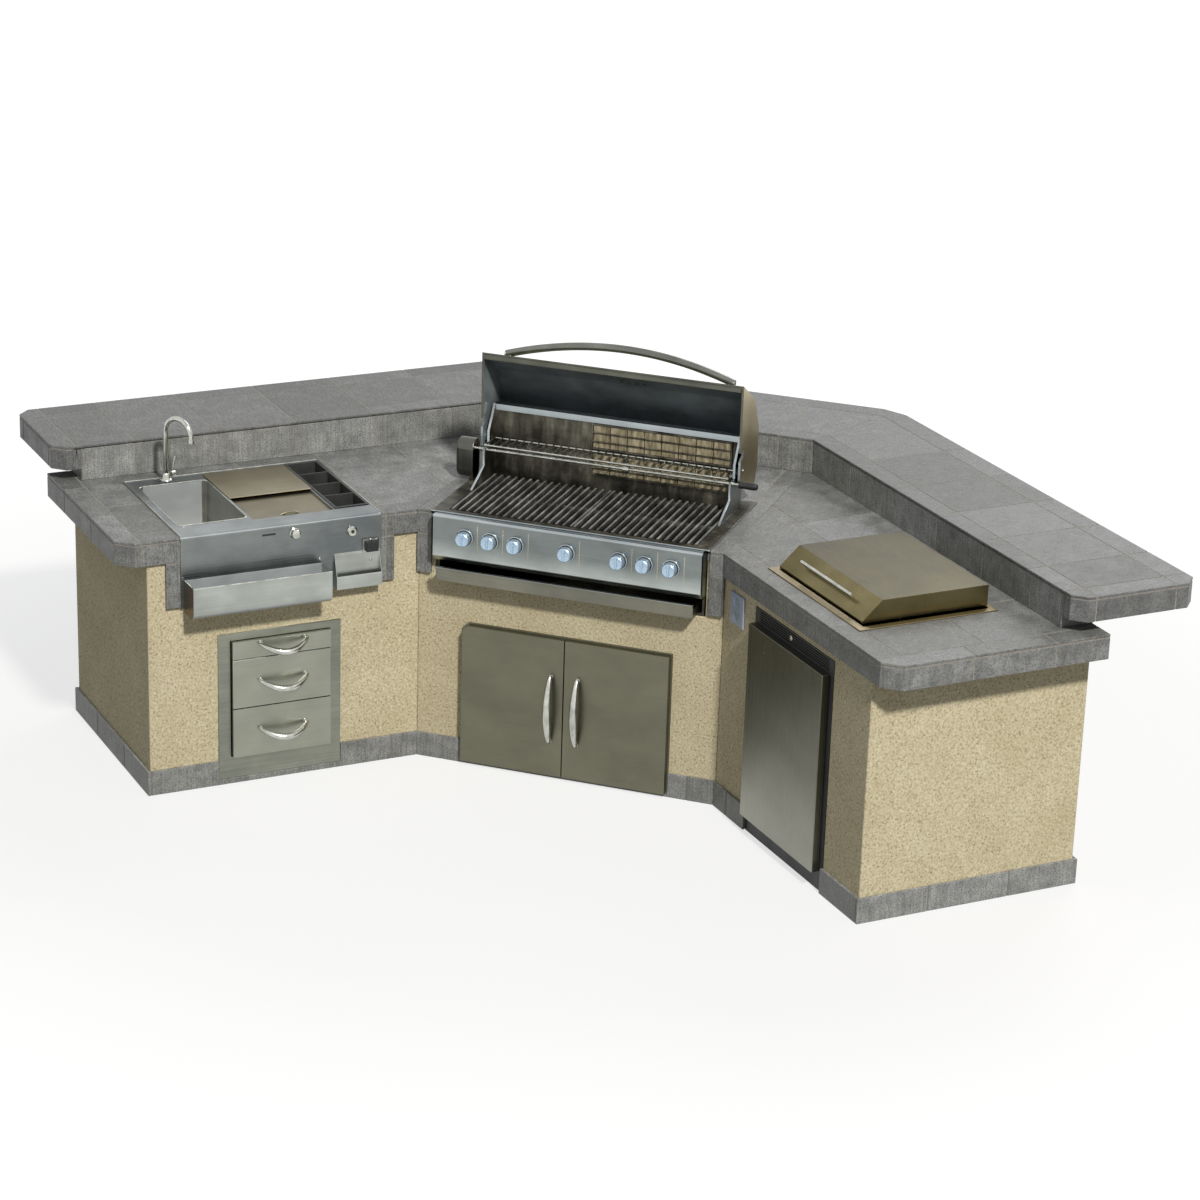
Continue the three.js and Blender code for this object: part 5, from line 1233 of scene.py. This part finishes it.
faucetLook = {
    "place": (-0.72, 0.551, 0), "lean": math.radians(28), "seat": 0.9226, "crown": 1.1563,
    "bend": 0.06, "drop": 0.074, "tube": 0.0088, "lever": 0.0163, "handle": 0.0046,
    "base": [(0, 0.0004), (0.0212, 0.0004), (0.0218, 0.002), (0.0205, 0.005), (0.0165, 0.008),
             (0.0148, 0.014), (0.0138, 0.0225), (0.0115, 0.026), (0.009, 0.0268), (0, 0.0268)],
    "nozzle": [(0, 0), (0.0085, 0), (0.0105, 0.001), (0.0105, 0.012), (0.0098, 0.0135),
               (0, 0.0136)],
    "hub": [(0, 0), (0.0095, 0), (0.011, 0.0012), (0.011, 0.0165), (0.0095, 0.0195), (0, 0.02)],
    "hubX": 0.0223, "stem": [(0.0323, 0), (0.0328, 0.018), (0.0372, 0.04), (0.0455, 0.0595)],
    "stemShares": [1, 0.8, 0.85, 1.15],
}


def makeFaucet():
    look = faucetLook
    turn = places["left"] @ Matrix.Translation(look["place"]) @ Matrix.Rotation(look["lean"], 4, "Z")
    seat, crown, r, drop = look["seat"], look["crown"], look["bend"], look["drop"]
    points = [(0, 0, seat + 0.012 + 0.02 * i) for i in range(6)] + [(0, 0, crown - r)]
    points += [(0, -r + r * math.cos(math.radians(a)), crown - r + r * math.sin(math.radians(a)))
               for a in range(8, 181, 8)]
    points += [(0, -2 * r, crown - r - 0.005), (0, -2 * r, crown - drop + 0.0005)]
    bm = bmesh.new()
    pipe(bm, points, look["tube"], 12)
    turned(bm, look["base"], shifted(0, 0, seat), 40)
    turned(bm, look["nozzle"], shifted(0, -2 * r, crown - drop - 0.0015), 28)
    piece(bm, "faucetSpout", "polishedSteel", turn, "faucet_spout", "faucet_spout")
    z = seat + look["lever"]
    bm = bmesh.new()
    turned(bm, look["hub"], shifted(look["hubX"], 0, z) @ lying, 32)
    pipe(bm, [(x, 0, z + rise) for x, rise in look["stem"]], look["handle"], 10, look["stemShares"],
         smooth=True)
    piece(bm, "faucetLever", "polishedSteel", turn, "faucet_lever", "faucet_lever")


railLook = {
    "end": -0.85, "otherEnd": -0.3605, "front": -0.108, "bottom": 0.652, "hem": 0.0024,
    "hemPath": [(-0.8505, -0.018, 0.7642), (-0.8505, -0.1085, 0.7642), (-0.3615, -0.1085, 0.7642),
                (-0.3615, -0.018, 0.7642)],
    "clawZ": 0.785, "screwX": -0.186, "screwY": -0.0195, "screwZ": (0.755, 0.8272),
    "screw": [(0, 0.0002), (0.0045, 0.0002), (0.0042, 0.0016), (0.0026, 0.0026), (0, 0.0029)],
}


def makeRail():
    look = railLook

    def choose(centre, normal):
        # the rail's end face gets a darker, brown copy of the steel: painted shade and painted
        # reflection
        if normal.x < -along and centre.x < look["end"]:
            return "endShadeAndReflectionSteel"
        # faces inside the rail get the lighter trough steel: painted light in the hollow
        outside = ((normal.y < -0.1 and centre.y < look["front"])
                   or (normal.z < -0.5 and centre.z < look["bottom"])
                   or (abs(normal.x) > along and centre.x > look["otherEnd"]))
        return "railSteel" if outside else "troughLitSteel"
    cadPiece("bottle_rail", "bottleRail", choose, (0.0008, 2, 0.03, 40), wing="left")
    bm = bmesh.new()
    pipe(bm, look["hemPath"], look["hem"], 8)
    piece(bm, "railHem", "polishedSteel", "left")


def makeOpener():
    look = railLook

    def choose(centre, normal):
        return "blackPlastic" if centre.z > look["clawZ"] else "railSteel"
    cadPiece("opener_and_catcher", "openerAndCatcher", choose, (0.0009, 2, 0.012, 40),
             wing="left")
    bm = bmesh.new()
    for z in look["screwZ"]:
        turned(bm, look["screw"], shifted(look["screwX"], look["screwY"], z) @ facing, 20)
    piece(bm, "openerScrews", "polishedSteel", "left")


# Fridge, side burner and outlet

rightLook = {
    "lockPlace": (0.468, 0.0, 0.7785),
    "lock": [(0, -0.001), (0.0085, -0.001), (0.0088, 0.0015), (0.0072, 0.0026), (0, 0.0028)],
    "headPlace": (0.495, 0.3145, 0),
    "head": [(0, 0.8162), (0.0175, 0.8162), (0.0175, 0.8415), (0.0405, 0.8425), (0.042, 0.845),
             (0.042, 0.852), (0.0375, 0.8525), (0.0375, 0.8545), (0.0398, 0.8555), (0.0395, 0.861),
             (0.034, 0.8665), (0.02, 0.868), (0, 0.868)],
    "brow": (0, 0.092, 0.925), "slope": (0, -0.064, 0.07), "barGap": 0.0035, "barY": 0.16,
    "lidTop": 0.98, "longEdge": 0.15,
}


def makeFridge():
    dress("fridge_case", "blackPlastic")
    dress("fridge_shelf", "polishedSteel")
    cadPiece("fridge_door", "fridgeDoor", "fridgeSteel", (0.0035, 4), "fridge_door",
             "right")
    bm = bmesh.new()
    turned(bm, rightLook["lock"], Matrix.Translation(rightLook["lockPlace"]) @ facing, 28)
    piece(bm, "fridgeLock", "polishedSteel", "right")


def makeSideBurner():
    look = rightLook
    cadPiece("side_burner_pan", "sidePan", "sideSteel", (0.0016, 3, 0.03))
    bm = cadCopy("side_burner_lid")
    toWing(bm, "right")
    soften(bm, 0.0032, 4, look["longEdge"], 20)
    short = [e for e in sharpEdges(bm, 0.03, 20) if e.calc_length() < look["longEdge"]]
    bevelEdges(bm, short, 0.0016, 2)
    # the bar and its posts stand out from the sloped front
    brow, outward = Vector(look["brow"]), Vector(look["slope"]).normalized()

    def choose(centre, normal):
        if (centre - brow).dot(outward) > look["barGap"] and centre.y < look["barY"]:
            return "polishedSteel"
        # upward top faces get the darker copy of the lid steel: painted shade
        return "lidTopShadeSteel" if normal.z > along and centre.z > look["lidTop"] else "lidSteel"
    piece(bm, "sideLid", choose, "right", "side_burner_lid", "side_burner_lid")
    cadPiece("side_burner_grate", "sideGrate", "castIron", (0.0015, 2, 0.01))
    bm = bmesh.new()
    turned(bm, look["head"], Matrix.Translation(look["headPlace"]), 48)
    piece(bm, "sideHead", "castIron", "right", "side_burner_head")


outletLook = {
    "u": 0.1055, "z": 0.7475, "front": -0.008, "spacing": 0.02725, "wide": 0.0155, "high": 0.0125,
    "slots": [(-0.0062, 0.0042), (0.0062, 0.0036)], "slotHalf": 0.0009, "ground": 0.0022,
    "screw": [(0, -0.001), (0.0032, -0.001), (0.003, 0.0006), (0, 0.0012)],
}


def makeOutlet():
    look = outletLook
    u, front, wide, high = (look[k] for k in ("u", "front", "wide", "high"))
    bm = cadCopy("outlet_plate")
    toWing(bm, "right")
    soften(bm, 0.0022, 4, 0.06)
    bevelEdges(bm, [e for e in sharpEdges(bm, 0.02) if e.calc_length() < 0.05], 0.0008, 2)
    holes = bmesh.new()
    for end in (-1, 1):
        z = look["z"] + end * look["spacing"]
        block(bm, (u - wide, front + 0.0006, z - high), (u + wide, front + 0.003, z + high),
              0.0006, 2)
        for across, half in look["slots"]:
            middle = u + across
            block(holes, (middle - look["slotHalf"], front + 0.0003, z + 0.001),
                  (middle + look["slotHalf"], front + 0.001, z + 0.001 + 2 * half), 0.0002, 1)
        rod(holes, (u, front + 0.0003, z - 0.006), (u, front + 0.001, z - 0.006), look["ground"], 16)
    piece(bm, "outletPlate", "greyPlastic", "right", "outlet_plate")
    piece(holes, "outletHoles", "blackPlastic", "right")
    bm = bmesh.new()
    turned(bm, look["screw"], shifted(u, front, look["z"]) @ facing, 20)
    piece(bm, "outletScrew", "polishedSteel", "right")


# Floor and backdrop: pale paper that brightens to white away from the object

stageLook = {"half": 40, "paper": "#868583", "glow": (0.68, 1.0), "reach": (2.2, 7.0),
             "skyLight": 0.22, "skyHue": (0.9, 1.0, 1.1, 1)}
white = (1, 1, 1, 1)


def shownShare(tree):
    # 1 where the eye, a reflection or glass shows the backdrop, 0 where it only lights the object
    path = addNode(tree, "ShaderNodeLightPath").outputs
    first = calculate(tree, "MAXIMUM", path["Is Camera Ray"], path["Is Glossy Ray"])
    return calculate(tree, "MAXIMUM", first, path["Is Transmission Ray"])


def makeStage():
    look = stageLook
    bm = bmesh.new()
    bmesh.ops.create_grid(bm, x_segments=1, y_segments=1, size=look["half"])
    mesh = bpy.data.meshes.new("floor")
    bm.to_mesh(mesh)
    bm.free()
    floor = bpy.data.objects.new("floor", mesh)
    scene.collection.objects.link(floor)
    material, tree, shader = newMaterial("paleFloor", {
        "Roughness": 0.85, "Base Color": linear(look["paper"]), "Emission Color": white})
    coords = addNode(tree, "ShaderNodeTexCoord")
    reach = addNode(tree, "ShaderNodeVectorMath", {"operation": "LENGTH"})
    tree.links.new(coords.outputs["Object"], reach.inputs[0])
    glow = spread(tree, reach.outputs["Value"], *look["glow"], *look["reach"])
    tree.links.new(calculate(tree, "MULTIPLY", shownShare(tree), glow),
                   shader.inputs["Emission Strength"])
    mesh.materials.append(material)
    world = bpy.data.worlds.new("studio")
    scene.world = world
    world.use_nodes = True
    tree = world.node_tree
    tree.nodes.clear()
    shown = shownShare(tree)
    background = addNode(tree, "ShaderNodeBackground", links={
        "Color": mixColours(tree, look["skyHue"], white, shown),
        "Strength": spread(tree, shown, look["skyLight"], 1.0, 0.0, 1.0)})
    addNode(tree, "ShaderNodeOutputWorld", links={"Surface": background.outputs["Background"]})


makeHood()
makeHoodHandle()
makeHoodHem()
makeHoodNuts()
makeHousing()
makeBackBurner()
makePanel()
makeKnobs()
makeGrates()
dress("flame_tamers", "smokedSteel")
dress("burner_assembly", "smokedSteel")
makeRack()
makeSpit()
makeMotor()
makeTray()
print("grill made")
makeDoors()
makeDrawers()
makeDeck()
makeDeckFittings()
makeIceLids()
makeFaucet()
makeRail()
makeOpener()
print("doors, drawers and beverage centre made")
makeFridge()
makeSideBurner()
makeOutlet()
makeStage()
print("right wing and floor made")

scene.view_settings.view_transform = "Standard"
